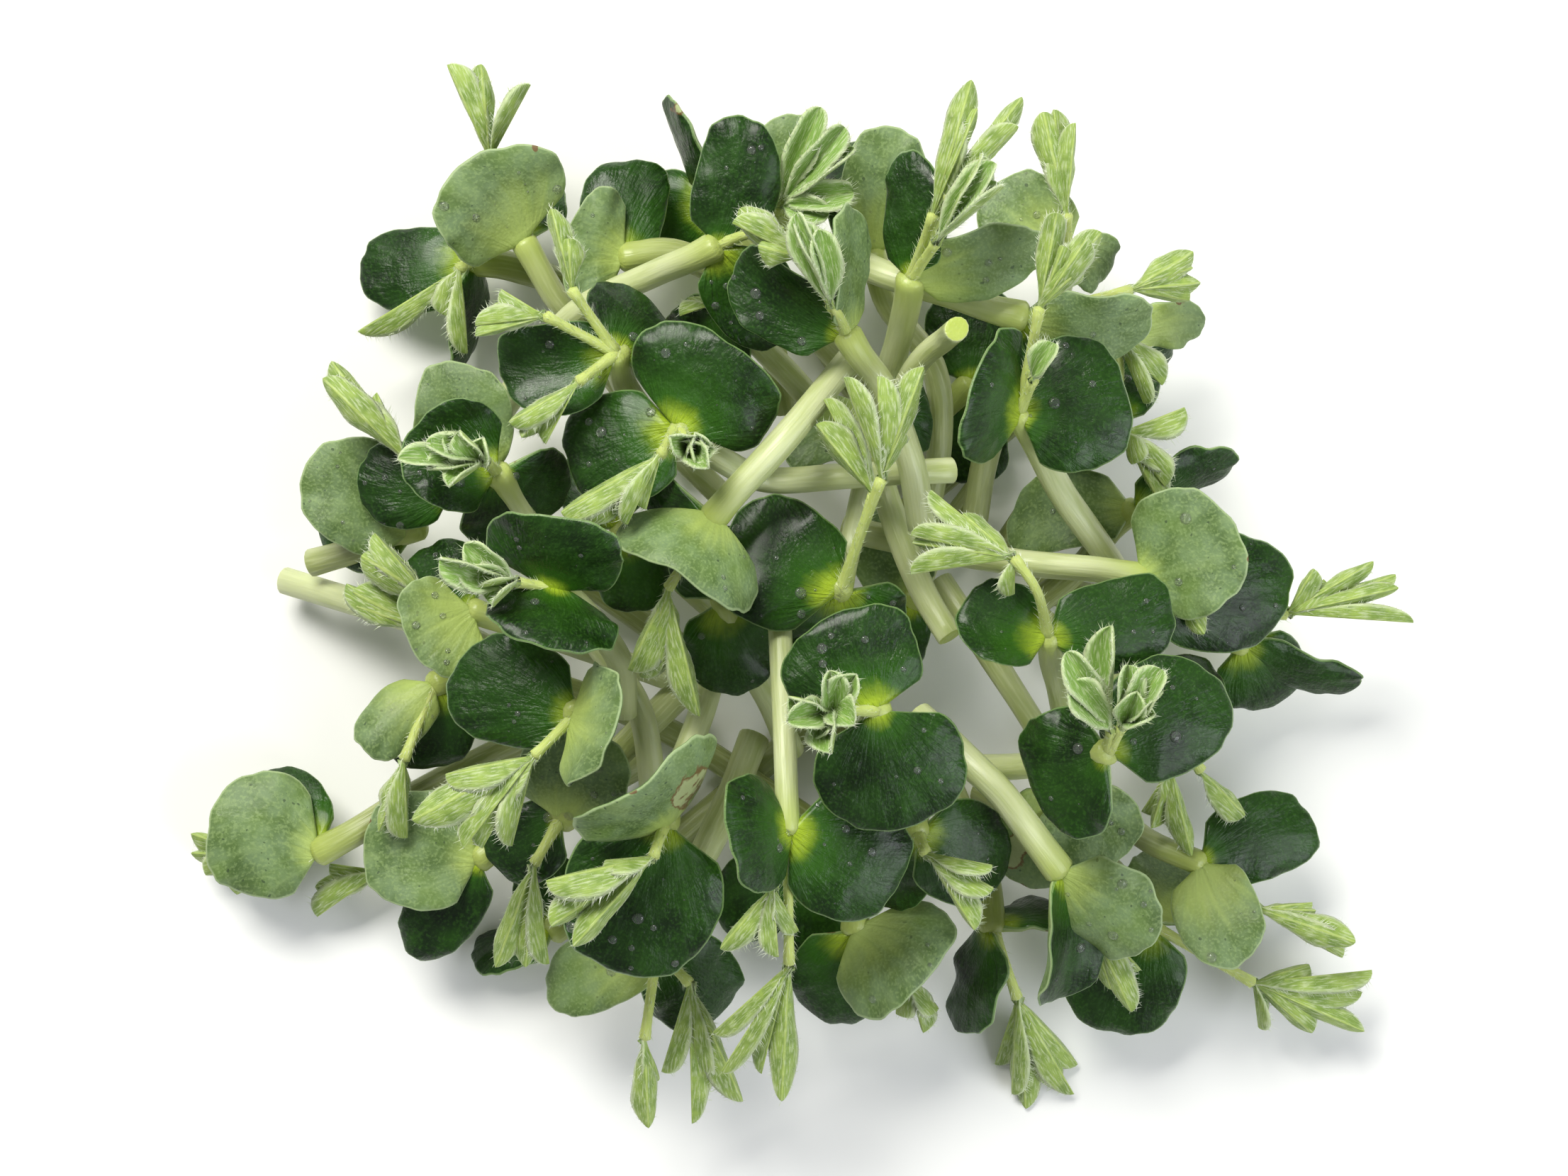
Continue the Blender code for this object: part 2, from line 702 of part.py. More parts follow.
def curve(points, step):
    """Points along a smooth path through the given ones, and each point's share of every given one."""
    count = len(points)
    rows = []
    for i in range(count - 1):
        length = np.linalg.norm(points[i + 1] - points[i])
        pieces = max(1, round(length / step))
        for k in range(pieces + (i == count - 2)):
            t = k / pieces
            row = np.zeros(count)
            weights = (
                (-t + 2 * t * t - t**3) / 2,
                (2 - 5 * t * t + 3 * t**3) / 2,
                (t + 4 * t * t - 3 * t**3) / 2,
                (t**3 - t * t) / 2,
            )
            for j, weight in zip(range(i - 1, i + 3), weights):
                if j < 0:
                    row[0] += 2 * weight
                    row[1] -= weight
                elif j >= count:
                    row[count - 1] += 2 * weight
                    row[count - 2] -= weight
                else:
                    row[j] += weight
            rows.append(row)
    rows = np.array(rows)
    return rows @ points, rows


def tube(path, radii, sides):
    """A closed round bar along a path: its points, the path point that each belongs to, and its triangles."""
    count = len(path)
    tangents = [unit(path[min(i + 1, count - 1)] - path[max(i - 1, 0)]) for i in range(count)]
    side = unit(np.cross(tangents[0], (0.0, 0.0, 1.0)))
    if np.linalg.norm(side) < 0.5:
        side = np.array((1.0, 0.0, 0.0))
    points, owners, faces = [], [], []
    for i in range(count):
        side = unit(side - tangents[i] * np.dot(side, tangents[i]))
        other = np.cross(tangents[i], side)
        for k in range(sides):
            angle = 2 * math.pi * (k + 0.5) / sides
            points.append(path[i] + radii[i] * (math.cos(angle) * side + math.sin(angle) * other))
            owners.append(i)
    for i in range(count - 1):
        for k in range(sides):
            a, b = i * sides + k, i * sides + (k + 1) % sides
            faces += [(a, b, b + sides), (a, b + sides, a + sides)]
    for end, ring in ((0, 0), (count - 1, (count - 1) * sides)):
        for k in range(1, sides - 1):
            face = (ring, ring + k, ring + k + 1)
            faces.append(face if end else face[::-1])
    return np.array(points), owners, faces


def axes(start, end, roll):
    along = end - start
    side = unit(np.cross(along, (0.0, 0.0, 1.0)))
    normal = np.cross(side, unit(along))
    turn = math.radians(roll)
    across = side * math.cos(turn) + normal * math.sin(turn)
    return along, across, normal * math.cos(turn) - side * math.sin(turn)


def seed_leaf_solid(seedling, item):
    """A thick bean-shaped blade: rim points and two on the midline of each face, joined round the rim."""
    start, end = control(seedling, 0), control(seedling, item["index"])
    along, side, normal = axes(start, end, item["roll"])
    length, half = np.linalg.norm(along), item["width"] / 2
    lifts = seedling["heights"][item["lifts"]]
    dome = length * math.tan(math.radians(item["bend"]) / 4) * (1 if item["roll"] < 90 else -1)
    cup = half * math.tan(math.radians(item["cup"]) / 2)
    size = len(seedling["heights"])
    sides = OUTLINE_SIDES
    spots = [(MIDLINE, 0.0), (MIDLINE, math.pi)]
    spots += [(1.0, 2 * math.pi * (k + 0.5) / sides) for k in range(sides)]
    points, shares = [], []
    for face in (1, -1):
        for ring, angle in spots:
            t = 0.5 - 0.5 * ring * math.cos(angle)
            v = ring * math.sin(angle) * (1 + 0.1 * math.cos(2 * angle)) * min(1.0, 0.2 + 5.5 * t)
            middle = 4 * t * (1 - t)
            off = dome * middle + cup * v * v + item["wave"] * v * v * math.sin(
                2 * math.pi * item["turns"] * t + item["phase"] + (1.3 if v > 0 else 0)
            )
            thick = SEED_LEAF_THICKNESS / 2 * (1 - 0.42 * ring**4)
            share = np.zeros(size)
            share[0] += (1 - t) * (1 - 2 * t)
            share[item["index"]] += t * (2 * t - 1)
            spread = (v * (v - 1) / 2, 1 - v * v, v * (v + 1) / 2)
            for index, part in zip(item["lifts"], spread):
                share[index] += middle * part
            point = start + along * t + side * (v * half + item["skew"] * middle)
            point += normal * (off + face * thick)
            point[2] += middle * np.dot(spread, lifts)
            points.append(point)
            shares.append(share)
    faces, count = [], len(spots)
    near = [0 if math.cos(2 * math.pi * (k + 0.5) / sides) > 0 else 1 for k in range(sides)]
    for k in range(sides):
        m = (k + 1) % sides
        faces.append((near[k], 2 + m, 2 + k))
        if near[k] != near[m]:
            faces.append((near[k], near[m], 2 + m))
    faces += [tuple(i + count for i in face[::-1]) for face in faces]
    for k in range(sides):
        a, b = 2 + k, 2 + (k + 1) % sides
        faces += [(a, b, b + count), (a, b + count, a + count)]
    return np.array(points), np.array(shares), faces


def spread(angles):
    """Turn the leaflets apart until each is far enough from its neighbours and from the stalk."""
    angles = np.array(angles)
    last = len(angles) - 1
    for _ in range(60):
        for i in range(last):
            least = LEAST_SPREAD * (2.4 if i in (0, last - 1) else 1.0)
            short = max(0.0, least - (angles[i + 1] - angles[i])) / 2
            angles[i] -= short * (2 if i + 1 == last else 1)
            angles[i + 1] += short * (2 if i == 0 else 1)
            angles[0], angles[last] = 0.0, 2 * math.pi
    return angles


def leaf_solid(seedling, path, tips):
    """A palmate leaf and its stalk in one piece, with folded leaflets spread round the hub."""
    hub = path[-1]
    centre = control(seedling, hub)
    size = len(seedling["heights"])
    points, shares, faces = [], [], []

    def add(point, row):
        points.append(point)
        shares.append(row)
        return len(points) - 1

    def share(index, part):
        row = np.zeros(size)
        row[hub] += 1 - part
        row[index] += part
        return row

    def pair(point, row, thickness):
        lift = np.array((0, 0, thickness / 2))
        return add(point + lift, row), add(point - lift, row)

    def around(angle, far, rise=0.0):
        return centre + np.array((math.cos(angle) * far, math.sin(angle) * far, rise))

    route, rows = curve(np.array([control(seedling, i) for i in path[::-1]]), STEM_STEP)
    back = math.atan2(*(route[1] - centre)[1::-1])
    reach = [control(seedling, item["index"]) - centre for item in tips]
    angles = [(math.atan2(ray[1], ray[0]) - back) % (2 * math.pi) for ray in reach]
    order = sorted(range(len(tips)), key=lambda i: angles[i])
    angles = spread([0.0] + [angles[i] for i in order] + [2 * math.pi])
    middle = pair(centre, share(hub, 1.0), LEAFLET_THICKNESS)
    outline = [pair(around(back + 0.8, 1.1), share(hub, 1.0), LEAFLET_THICKNESS)]
    lefts = set()
    for i, number in enumerate(order, 1):
        item, ray = tips[number], reach[number]
        angle, far = angles[i] + back, np.hypot(ray[0], ray[1])
        width = item["width"] / 2 * math.cos(math.radians(item["fold"]))
        rise = item["width"] / 2 * math.sin(math.radians(item["fold"]))
        crown = ray[2] * STATION + item["arch"] * far
        row = share(item["index"], STATION)
        edges = []
        for side, room in ((-1, angles[i] - angles[i - 1]), (1, angles[i + 1] - angles[i])):
            turn = min(math.atan2(width, far * STATION), 0.44 * room)
            edge = crown + rise * (1 + side * item["roll"] / 60)
            margin = around(angle + side * turn, far * STATION / math.cos(turn), edge)
            edges.append(pair(margin, row, LEAFLET_THICKNESS))
        rib = pair(around(angle, far * STATION, crown), row, LEAFLET_THICKNESS)
        tip = add(around(angle, far, ray[2]), share(item["index"], 1.0))
        for face in (0, 1):
            left, right = edges[0][face], edges[1][face]
            faces += [(middle[face], left, rib[face]), (rib[face], left, tip)]
            faces += [(middle[face], rib[face], right), (rib[face], tip, right)]
        faces += [(*edges[0], tip), (*edges[1], tip)]
        lefts.add(len(outline))
        outline += edges
        room = angles[i + 1] - angles[i]
        parts = (0.5,) if room < 2.4 else (0.25, 0.5, 0.75)
        if i < len(order) or room > 2.4:
            for part in parts:
                outline.append(pair(around(angle + room * part, 1.0), share(hub, 1.0), LEAFLET_THICKNESS))
    outline.append(pair(around(back - 0.8, 1.1), share(hub, 1.0), LEAFLET_THICKNESS))
    for a in range(len(outline) - 1):
        if a not in lefts:
            link(faces, middle, outline[a], outline[a + 1])
    right, left = outline[0], outline[-1]
    for face in (0, 1):
        faces.append((middle[face], right[face], left[face]))
    for k in range(1, len(route)):
        ahead = route[k] - route[k - 1]
        aside = unit(np.array((ahead[1], -ahead[0], 0.0))) * PETIOLE_RADIUS * 0.85
        row = np.zeros(size)
        row[path[::-1]] = rows[k]
        next_right = pair(route[k] - aside, row, PETIOLE_RADIUS * 1.7)
        next_left = pair(route[k] + aside, row, PETIOLE_RADIUS * 1.7)
        ring, next_ring = (*right, *left[::-1]), (*next_right, *next_left[::-1])
        for a in range(4):
            b = (a + 1) % 4
            faces += [(ring[a], ring[b], next_ring[b]), (ring[a], next_ring[b], next_ring[a])]
        right, left = next_right, next_left
    faces += [(right[0], right[1], left[1]), (right[0], left[1], left[0])]
    return np.array(points), np.array(shares), consistent(faces)


def link(faces, middle, first, second):
    """Join the hub to one stretch of the leaf's outline, above, below and round the rim."""
    for face in (0, 1):
        faces.append((middle[face], first[face], second[face]))
    faces += [(first[0], first[1], second[1]), (first[0], second[1], second[0])]


def consistent(faces):
    """Turn the triangles so that neighbours face the same way."""
    edges = {}
    for i, face in enumerate(faces):
        for a, b in zip(face, face[1:] + face[:1]):
            edges.setdefault(frozenset((a, b)), []).append(i)
    turned = {0: faces[0]}
    queue = [0]
    while queue:
        i = queue.pop()
        face = turned[i]
        for a, b in zip(face, face[1:] + face[:1]):
            for j in edges[frozenset((a, b))]:
                if j in turned:
                    continue
                other = faces[j]
                same = any((c, d) == (a, b) for c, d in zip(other, other[1:] + other[:1]))
                turned[j] = other[::-1] if same else other
                queue.append(j)
    return [turned[i] for i in range(len(faces))]


def bar_solid(seedling, indices, step, sides, thickness):
    """A stem through some of the controls."""
    controls = np.array([control(seedling, i) for i in indices])
    path, rows = curve(controls, step)
    radii = [thickness(i / (len(path) - 1), np.linalg.norm(path[i] - path[0])) for i in range(len(path))]
    back = path[0] - unit(path[1] - path[0]) * 1.2
    path = np.vstack([back, path])
    rows = np.vstack([rows[0], rows])
    points, owners, faces = tube(path, [radii[0] * 0.75] + radii, sides)
    shares = np.zeros((len(points), len(seedling["heights"])))
    shares[:, indices] = rows[owners]
    return points, shares, faces


def outward(points, faces):
    """Turn the triangles so that the solid's volume is positive."""
    a, b, c = (points[[face[i] for face in faces]] for i in range(3))
    volume = np.einsum("ij,ij->i", a, np.cross(b, c)).sum()
    return faces if volume > 0 else [face[::-1] for face in faces]


def solids(seedling):
    """Every solid of one seedling: its points as seen, each point's share of the controls, its triangles."""
    radius = seedling["radius"]
    parts = [
        bar_solid(
            seedling,
            seedling["stem"],
            STEM_STEP,
            STEM_SIDES,
            lambda t, far: radius * (1 + (NODE_SWELL - 1) * math.exp(-((far / 3) ** 2))),
        )
    ]
    for item in seedling["seed_leaves"]:
        parts.append(seed_leaf_solid(seedling, item))
    for leaf_item in seedling["leaves"]:
        parts.append(leaf_solid(seedling, leaf_item["path"], leaf_item["tips"]))
    return [(points, shares, outward(points, faces)) for points, shares, faces in parts]


# Settling: the seedlings slide up or down along the line of sight until none passes through another
def sample(points, faces, spacing=1.0):
    """Spots spread over the triangles: the three corners of each spot's triangle and their shares in it."""
    corners, shares = [], []
    for face in faces:
        a, b, c = points[list(face)]
        longest = max(np.hypot(*(a - b)[:2]), np.hypot(*(b - c)[:2]), np.hypot(*(c - a)[:2]))
        pieces = max(1, math.ceil(longest / spacing))
        for i in range(pieces + 1):
            for j in range(pieces + 1 - i):
                corners.append(face)
                shares.append((i / pieces, j / pieces, (pieces - i - j) / pieces))
    return np.array(corners), np.array(shares)


def crossings(heap, shapes):
    """Spots of two seedlings that lie one above the other, found on a fine square grid."""
    points, weights, corners, shares, owners, elements = [], [], [], [], [], []
    width = max(len(seedling["heights"]) for seedling in heap)
    count = element = 0
    for number, parts in enumerate(shapes):
        for spots, rows, faces in parts:
            ids, parts_of = sample(spots, faces)
            points.append(spots)
            weights.append(np.pad(rows, ((0, 0), (0, width - rows.shape[1]))))
            corners.append(ids + count)
            shares.append(parts_of)
            owners.append(np.full(len(ids), number))
            elements.append(np.full(len(ids), element))
            count += len(spots)
            element += 1
    points, weights = np.vstack(points), np.vstack(weights)
    corners, shares = np.vstack(corners), np.vstack(shares)
    owners, elements = np.concatenate(owners), np.concatenate(elements)
    spots = np.einsum("ij,ijk->ik", shares, points[corners])
    seat = np.arange(len(spots))
    cell, reach = 1.25, 0.35
    keys, seats = [], []
    for dx, dy in ((0, 0), (reach, 0), (-reach, 0), (0, reach), (0, -reach)):
        columns = np.floor((spots[:, 0] + dx + 200) / cell).astype(np.int64)
        rows = np.floor((spots[:, 1] + dy + 200) / cell).astype(np.int64)
        keys.append((columns * 400 + rows) * 1000 + elements)
        seats.append(seat)
    keys, seats = np.concatenate(keys), np.concatenate(seats)
    order = np.lexsort((spots[seats, 2], keys))
    keys, seats = keys[order], seats[order]
    first = np.r_[True, keys[1:] != keys[:-1]]
    last = np.r_[first[1:], True]
    low, high, place = seats[first], seats[last], keys[first] // 1000
    pairs = []
    for step in range(1, 60):
        same = np.nonzero(place[step:] == place[:-step])[0]
        if not len(same):
            break
        pairs.append(np.stack([same, same + step], 1))
    pairs = np.vstack(pairs)
    pairs = pairs[owners[low[pairs[:, 0]]] != owners[low[pairs[:, 1]]]]
    middle = (spots[low, 2] + spots[high, 2]) / 2
    code = elements[low[pairs[:, 0]]].astype(np.int64) * element + elements[low[pairs[:, 1]]]
    rise = middle[pairs[:, 0]] - middle[pairs[:, 1]]
    names, inverse = np.unique(code, return_inverse=True)
    swap = np.bincount(inverse, rise)[inverse] < 0
    pairs[swap] = pairs[swap][:, ::-1]
    upper, lower = low[pairs[:, 0]], high[pairs[:, 1]]
    gap = spots[upper, 2] - spots[lower, 2]
    keep = gap < 30.0
    share = lambda seats: np.einsum("ij,ijk->ik", shares[seats], weights[corners[seats]])
    floor = low[spots[low, 2] < 7.0]
    return dict(
        upper=share(upper[keep]),
        lower=share(lower[keep]),
        above=owners[upper[keep]],
        below=owners[lower[keep]],
        gap=gap[keep],
        floor=share(floor),
        floor_owner=owners[floor],
        floor_gap=spots[floor, 2],
    )


def links(seedling):
    """Pairs of controls that would rather move together, and how strongly."""
    found = [(a, b, 0.6) for a, b in zip(seedling["stem"], seedling["stem"][1:])]
    for item in seedling["seed_leaves"]:
        found.append((0, item["index"], 0.5))
    for item in seedling["leaves"]:
        found += [(a, b, 0.5) for a, b in zip(item["path"], item["path"][1:])]
        found += [(item["path"][-1], tip["index"], 0.4) for tip in item["tips"]]
    return found


def settle(heap, rounds=5, steps=14, drop=0.8):
    """Find the least changes of the heights that keep every crossing clear and nothing below the floor."""
    width = max(len(seedling["heights"]) for seedling in heap)
    size = width * len(heap)
    for number in range(rounds):
        shapes = [solids(seedling) for seedling in heap]
        found = crossings(heap, shapes)
        base = np.eye(size) * HOLD
        pull = np.full(size, -HOLD * drop)
        for i, seedling in enumerate(heap):
            start = i * width
            for a, b, strength in links(seedling):
                a, b = a + start, b + start
                base[a, a] += strength
                base[b, b] += strength
                base[a, b] -= strength
                base[b, a] -= strength
            for item in seedling["seed_leaves"]:
                tip = item["index"] + start
                left, middle, right = (index + start for index in item["lifts"])
                for lifted, strength in ((middle, 3.0), (left, 1.0), (right, 1.0)):
                    row = np.zeros(size)
                    row[lifted] = 1.0
                    row[start] = row[tip] = -0.5
                    at = np.nonzero(row)[0]
                    base[np.ix_(at, at)] += strength * np.outer(row[at], row[at])
        groups = found["above"] * 1000 + found["below"]
        order = np.argsort(groups, kind="stable")
        starts = np.r_[np.nonzero(np.r_[True, np.diff(groups[order]) != 0])[0], len(order)]
        move = np.zeros(size)
        strength = 4.0
        for step in range(steps):
            matrix, target = base.copy(), pull.copy()
            table = move.reshape(len(heap), width)
            clear = (
                found["gap"]
                + np.einsum("ij,ij->i", found["upper"], table[found["above"]])
                - np.einsum("ij,ij->i", found["lower"], table[found["below"]])
            )
            short = clear < CLEARANCE
            for first, last in zip(starts[:-1], starts[1:]):
                rows = order[first:last]
                rows = rows[short[rows]]
                if not len(rows):
                    continue
                a = found["above"][rows[0]] * width
                b = found["below"][rows[0]] * width
                lever = np.hstack([found["upper"][rows], -found["lower"][rows]])
                block = strength * lever.T @ lever
                force = strength * lever.T @ (CLEARANCE - found["gap"][rows])
                matrix[a : a + width, a : a + width] += block[:width, :width]
                matrix[b : b + width, b : b + width] += block[width:, width:]
                matrix[a : a + width, b : b + width] += block[:width, width:]
                matrix[b : b + width, a : a + width] += block[width:, :width]
                target[a : a + width] += force[:width]
                target[b : b + width] += force[width:]
            height = found["floor_gap"] + np.einsum("ij,ij->i", found["floor"], table[found["floor_owner"]])
            for i in np.unique(found["floor_owner"][height < 0]):
                rows = np.nonzero((found["floor_owner"] == i) & (height < 0))[0]
                lever = found["floor"][rows]
                a = i * width
                matrix[a : a + width, a : a + width] += strength * lever.T @ lever
                target[a : a + width] -= strength * lever.T @ found["floor_gap"][rows]
            wanted = np.linalg.solve(matrix, target)
            move += (wanted - move) * (0.8 if step < steps - 3 else 1.0)
            strength = min(strength * 1.5, 60.0)
        print(
            "settling", number + 1,
            "short of clearance by", round(float(max(0.0, CLEARANCE - clear.min())), 2),
            "at", int((clear < CLEARANCE - 0.25).sum()), "spots,",
            "largest move", round(float(abs(move).max()), 1),
            "below the floor", round(float(min(0.0, height.min())), 2),
        )
        for i, seedling in enumerate(heap):
            change = move[i * width : i * width + len(seedling["heights"])]
            change = change.copy()
            for item in seedling["seed_leaves"]:
                change[item["lifts"]] -= (change[0] + change[item["index"]]) / 2
            seedling["heights"] += change
    return heap


def seedling_material(name, shade):
    """The green skin of one seedling, a little lighter or darker than its neighbours."""
    material = bpy.data.materials.new(name + "_skin")
    material.use_nodes = True
    shader = material.node_tree.nodes["Principled BSDF"]
    shader.inputs["Base Color"].default_value = (0.09 * shade, 0.19 * shade, 0.05 * shade, 1.0)
    shader.inputs["Roughness"].default_value = 0.42
    shader.inputs["Metallic"].default_value = 0.0
    return material


def mesh_object(name, points, faces):
    mesh = bpy.data.meshes.new(name)
    mesh.from_pydata([tuple(point) for point in points * MM], [], faces)
    item = bpy.data.objects.new(name, mesh)
    bpy.context.scene.collection.objects.link(item)
    return item


def whole(mesh):
    """Keep the largest closed shell, without scraps and sealed hollows, and say if it is sound."""
    shape = bmesh.new()
    shape.from_mesh(mesh)
    bmesh.ops.remove_doubles(shape, verts=shape.verts[:], dist=0.002 * MM)
    bmesh.ops.triangulate(shape, faces=shape.faces[:])
    left, shells = set(shape.verts), []
    while left:
        start = left.pop()
        shell, queue = {start}, [start]
        while queue:
            for edge in queue.pop().link_edges:
                for vertex in edge.verts:
                    if vertex in left:
                        left.discard(vertex)
                        shell.add(vertex)
                        queue.append(vertex)
        shells.append(shell)
    shells.sort(key=len)
    bmesh.ops.delete(shape, geom=[vertex for shell in shells[:-1] for vertex in shell], context="VERTS")
    sound = all(vertex.is_manifold for vertex in shape.verts)
    sound = sound and all(edge.is_manifold for edge in shape.edges)
    sound = sound and min(face.calc_area() for face in shape.faces) > 1e-13
    shape.to_mesh(mesh)
    shape.free()
    return sound


def fuse(body, others, draw):
    """Join the solids of one seedling into a single closed body."""
    group = bpy.data.collections.new(body.name + "_parts")
    bpy.context.scene.collection.children.link(group)
    for item in others:
        bpy.context.scene.collection.objects.unlink(item)
        group.objects.link(item)
    union = body.modifiers.new("Union", "BOOLEAN")
    union.operation = "UNION"
    union.operand_type = "COLLECTION"
    union.collection = group
    union.solver = "MANIFOLD"
    for attempt in range(12):
        bpy.context.view_layer.update()
        mesh = bpy.data.meshes.new_from_object(body.evaluated_get(bpy.context.evaluated_depsgraph_get()))
        if whole(mesh):
            break
        for item in others:
            nudge = Vector(draw.uniform(-0.03, 0.03, 3)) * (1 + attempt) * MM
            item.data.transform(Matrix.Translation(nudge))
    else:
        print(body.name, "did not fuse cleanly")
    body.modifiers.remove(union)
    body.data = mesh
    for item in others:
        bpy.data.objects.remove(item, do_unlink=True)
    bpy.data.collections.remove(group)


def placed(heap):
    """The solids of every seedling in their own places, centred over the origin and resting on the floor."""
    shapes = [[(seen_at(points), faces) for points, rows, faces in solids(seedling)] for seedling in heap]
    everything = np.vstack([points for parts in shapes for points, faces in parts])
    low, high = everything.min(axis=0), everything.max(axis=0)
    shift = np.array([-(low[0] + high[0]) / 2, -(low[1] + high[1]) / 2, -low[2] - FLOOR_PRESS])
    moved = []
    for parts in shapes:
        row = []
        for points, faces in parts:
            points = points + shift
            points[:, 2] = np.maximum(points[:, 2], 0.0)
            row.append((points, faces))
        moved.append(row)
    print("heap", np.round(high - low, 1), "moved by", np.round(shift, 2))
    return moved


def build():
    clear_scene()
    heap = [plan(name, spec, 11 + i) for i, (name, spec) in enumerate(SEEDLINGS.items())]
    settle(heap)
    draw = np.random.default_rng(5)
    shades = draw.uniform(0.85, 1.2, len(heap))
    for seedling, parts, shade in zip(heap, placed(heap), shades):
        items = [
            mesh_object(seedling["name"] if k == 0 else f"piece_{k}", points, faces)
            for k, (points, faces) in enumerate(parts)
        ]
        fuse(items[0], items[1:], draw)
        items[0].data.materials.clear()
        items[0].data.materials.append(seedling_material(seedling["name"], shade))


build()
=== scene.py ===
import math

import bpy
import numpy as np
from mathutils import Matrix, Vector


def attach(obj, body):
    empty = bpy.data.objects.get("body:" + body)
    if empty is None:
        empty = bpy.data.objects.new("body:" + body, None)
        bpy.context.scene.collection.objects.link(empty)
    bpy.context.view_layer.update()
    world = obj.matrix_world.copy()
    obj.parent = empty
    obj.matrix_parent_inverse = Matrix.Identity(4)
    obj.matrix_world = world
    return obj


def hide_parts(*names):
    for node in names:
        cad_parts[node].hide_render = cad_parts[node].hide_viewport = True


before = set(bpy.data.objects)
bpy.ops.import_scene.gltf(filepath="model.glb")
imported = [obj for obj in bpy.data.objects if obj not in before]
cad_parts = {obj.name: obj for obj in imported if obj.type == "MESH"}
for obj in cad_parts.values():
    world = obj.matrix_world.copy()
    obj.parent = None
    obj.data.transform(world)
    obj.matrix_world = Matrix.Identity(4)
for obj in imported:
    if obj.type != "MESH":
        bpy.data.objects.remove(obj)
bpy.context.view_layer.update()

mm = 0.001  # the table and the functions below work in millimetres

# The view straight down on the heap: lengths are seen on the plane of its middle
viewSetup = dict(photoWidth=2212, pixelsPerMm=10.5, eyeHeight=430.0, planeHeight=30.0)

# What the table, the solids and the growing surfaces share
toneStep = 40.0  # mm between the patterns of two seedlings
stemSetup = dict(
    radius=1.75, thinThick=(0.92, 1.12),  # mm, and how seedlings differ from it
    nodeSwell=1.22, nodeLength=3.0,  # the solid's node
    step=1.3,  # mm between rings
    sides=14,
    swell=1.1,  # its node, between the feet of the seed leaves
    slow=(0.95, 1.05), stretches=6,  # slow changes of its thickness
    uneven=0.035,  # how far from round
    dome=((0.95, 0.4), (0.75, 0.68), (0.4, 0.88)),  # mm beyond the node, share of the radius
    cut=((0.08, 0.96), (0.12, 0.88), (0.13, 0.5)),
    topRise=0.12, cutSink=0.03,  # mm at the middle of both ends
    shadeAtFloor=1.2, shadeFadeHeight=29.0, differ=0.2,  # painted shade: stems deep in the heap are coloured olive, those that lie high pale, with a random part
)
seedLeafSetup = dict(
    thickness=1.5, rimThin=0.42,  # mm, and how much thinner at the rim
    width=20.0, bean=0.1,  # mm, and how far it is from an oval
    skew=(-1.4, 1.4),  # mm that its middle stands to one side
    wave=(0.3, 0.9), turns=(1.2, 2.1),  # mm, and waves along one half
    side=1.3,  # turn of the wave from one half to the other
    sides=64,
    rings=(0.2, 0.38, 0.54, 0.67, 0.78, 0.87, 0.93, 0.97, 0.992, 1.0),  # shares of the way to the rim
    bays=0.03,  # how far the rim wanders in and out
    scallop=0.013,  # and its small bays
    ruffle=0.22, crimp=0.1,  # waves of the rim, in mm
    footThick=1.5, footReach=0.09,  # extra thickness where it joins the stem
    footWidth=0.32, footWiden=4.6,  # share of its width at the node, and how fast it grows
    ribStart=2.0,  # mm behind the node where the ribs meet
    patch=(0.45, 1.15),  # size of the pale patch at the foot
)
leafletSetup = dict(
    width=4.6, slimWide=(0.9, 1.08),  # mm, and how leaflets differ from it
    fold=(24, 46), roll=(-38, 38),  # degrees that a half is folded up, and the leaflet turned
    arch=(0.04, 0.11), uneven=(-1.2, 1.2),  # rise of its middle against its length, and of its tip in mm
    curl=(-0.05, 0.1), twist=(-0.35, 0.35),  # of its outer half, against its length, and in radians
    solidThickness=0.9,
    thickness=0.42, footThick=1.2, footFade=7,  # mm, and how much thicker at the foot
    stalkRadius=0.85, stalkSides=9, stalkStep=1.4,
    nodeFlare=0.55, nodeReach=1.8,  # how the stalk widens towards the node, and within how many mm
    hubFlare=0.2, hubReach=0.12,  # and towards the hub, within what share of its length
    halfWidth=0.95,  # a folded half against the leaflet's seen width
    outline=(1.1, 0.52, 0.526),  # how it widens from the foot, how it closes at the tip, its greatest value
    footWidth=0.42,  # mm, half of it
    ripple=0.07, waves=11,  # of the margin, as a share of half its width
    steps=14,
    across=(0, 0.08, 0.3, 0.55, 0.8, 1.0),  # shares of the way from the midrib to the margin
    bowl=(1.55, 1.1),  # how the fold rounds from midrib to margin
    upright=0.45,  # a tuft that rises more than this turns its folds to the eye
    inward=1.1, lift=0.6, droop=-0.5,  # the way a fold opens, in a tuft that stands and in one that lies
    shutFold=42.0, standWiden=1.2, flatten=1.35,
    stalkSunk=0.3, stalkPast=0.5, heading=0.35,  # its ends in mm, and how far a tuft keeps to its way
    midrib=0.06, keel=1.2,  # its groove in mm, and its back against the thickness
    innerDown=0.35, stalkDown=0.7,  # how much of the down the inner faces and stalks have
)


# Turns an sRGB hex colour into the linear values that shaders want.
def colour(code):
    parts = [int(code[i : i + 2], 16) / 255 for i in (1, 3, 5)]
    return (*(p / 12.92 if p <= 0.04045 else ((p + 0.055) / 1.055) ** 2.4 for p in parts), 1.0)


# Adds a node with its settings, and fills its sockets with values, or links them to nodes or sockets.
def addNode(tree, kind, sockets=None, **settings):
    node = tree.nodes.new(kind)
    for name, value in settings.items():
        setattr(node, name, value)
    for name, value in (sockets or {}).items():
        if isinstance(value, bpy.types.Node):
            value = next(output for output in value.outputs if output.enabled)
        if isinstance(value, bpy.types.NodeSocket):
            tree.links.new(value, node.inputs[name])
        else:
            node.inputs[name].default_value = value
    return node


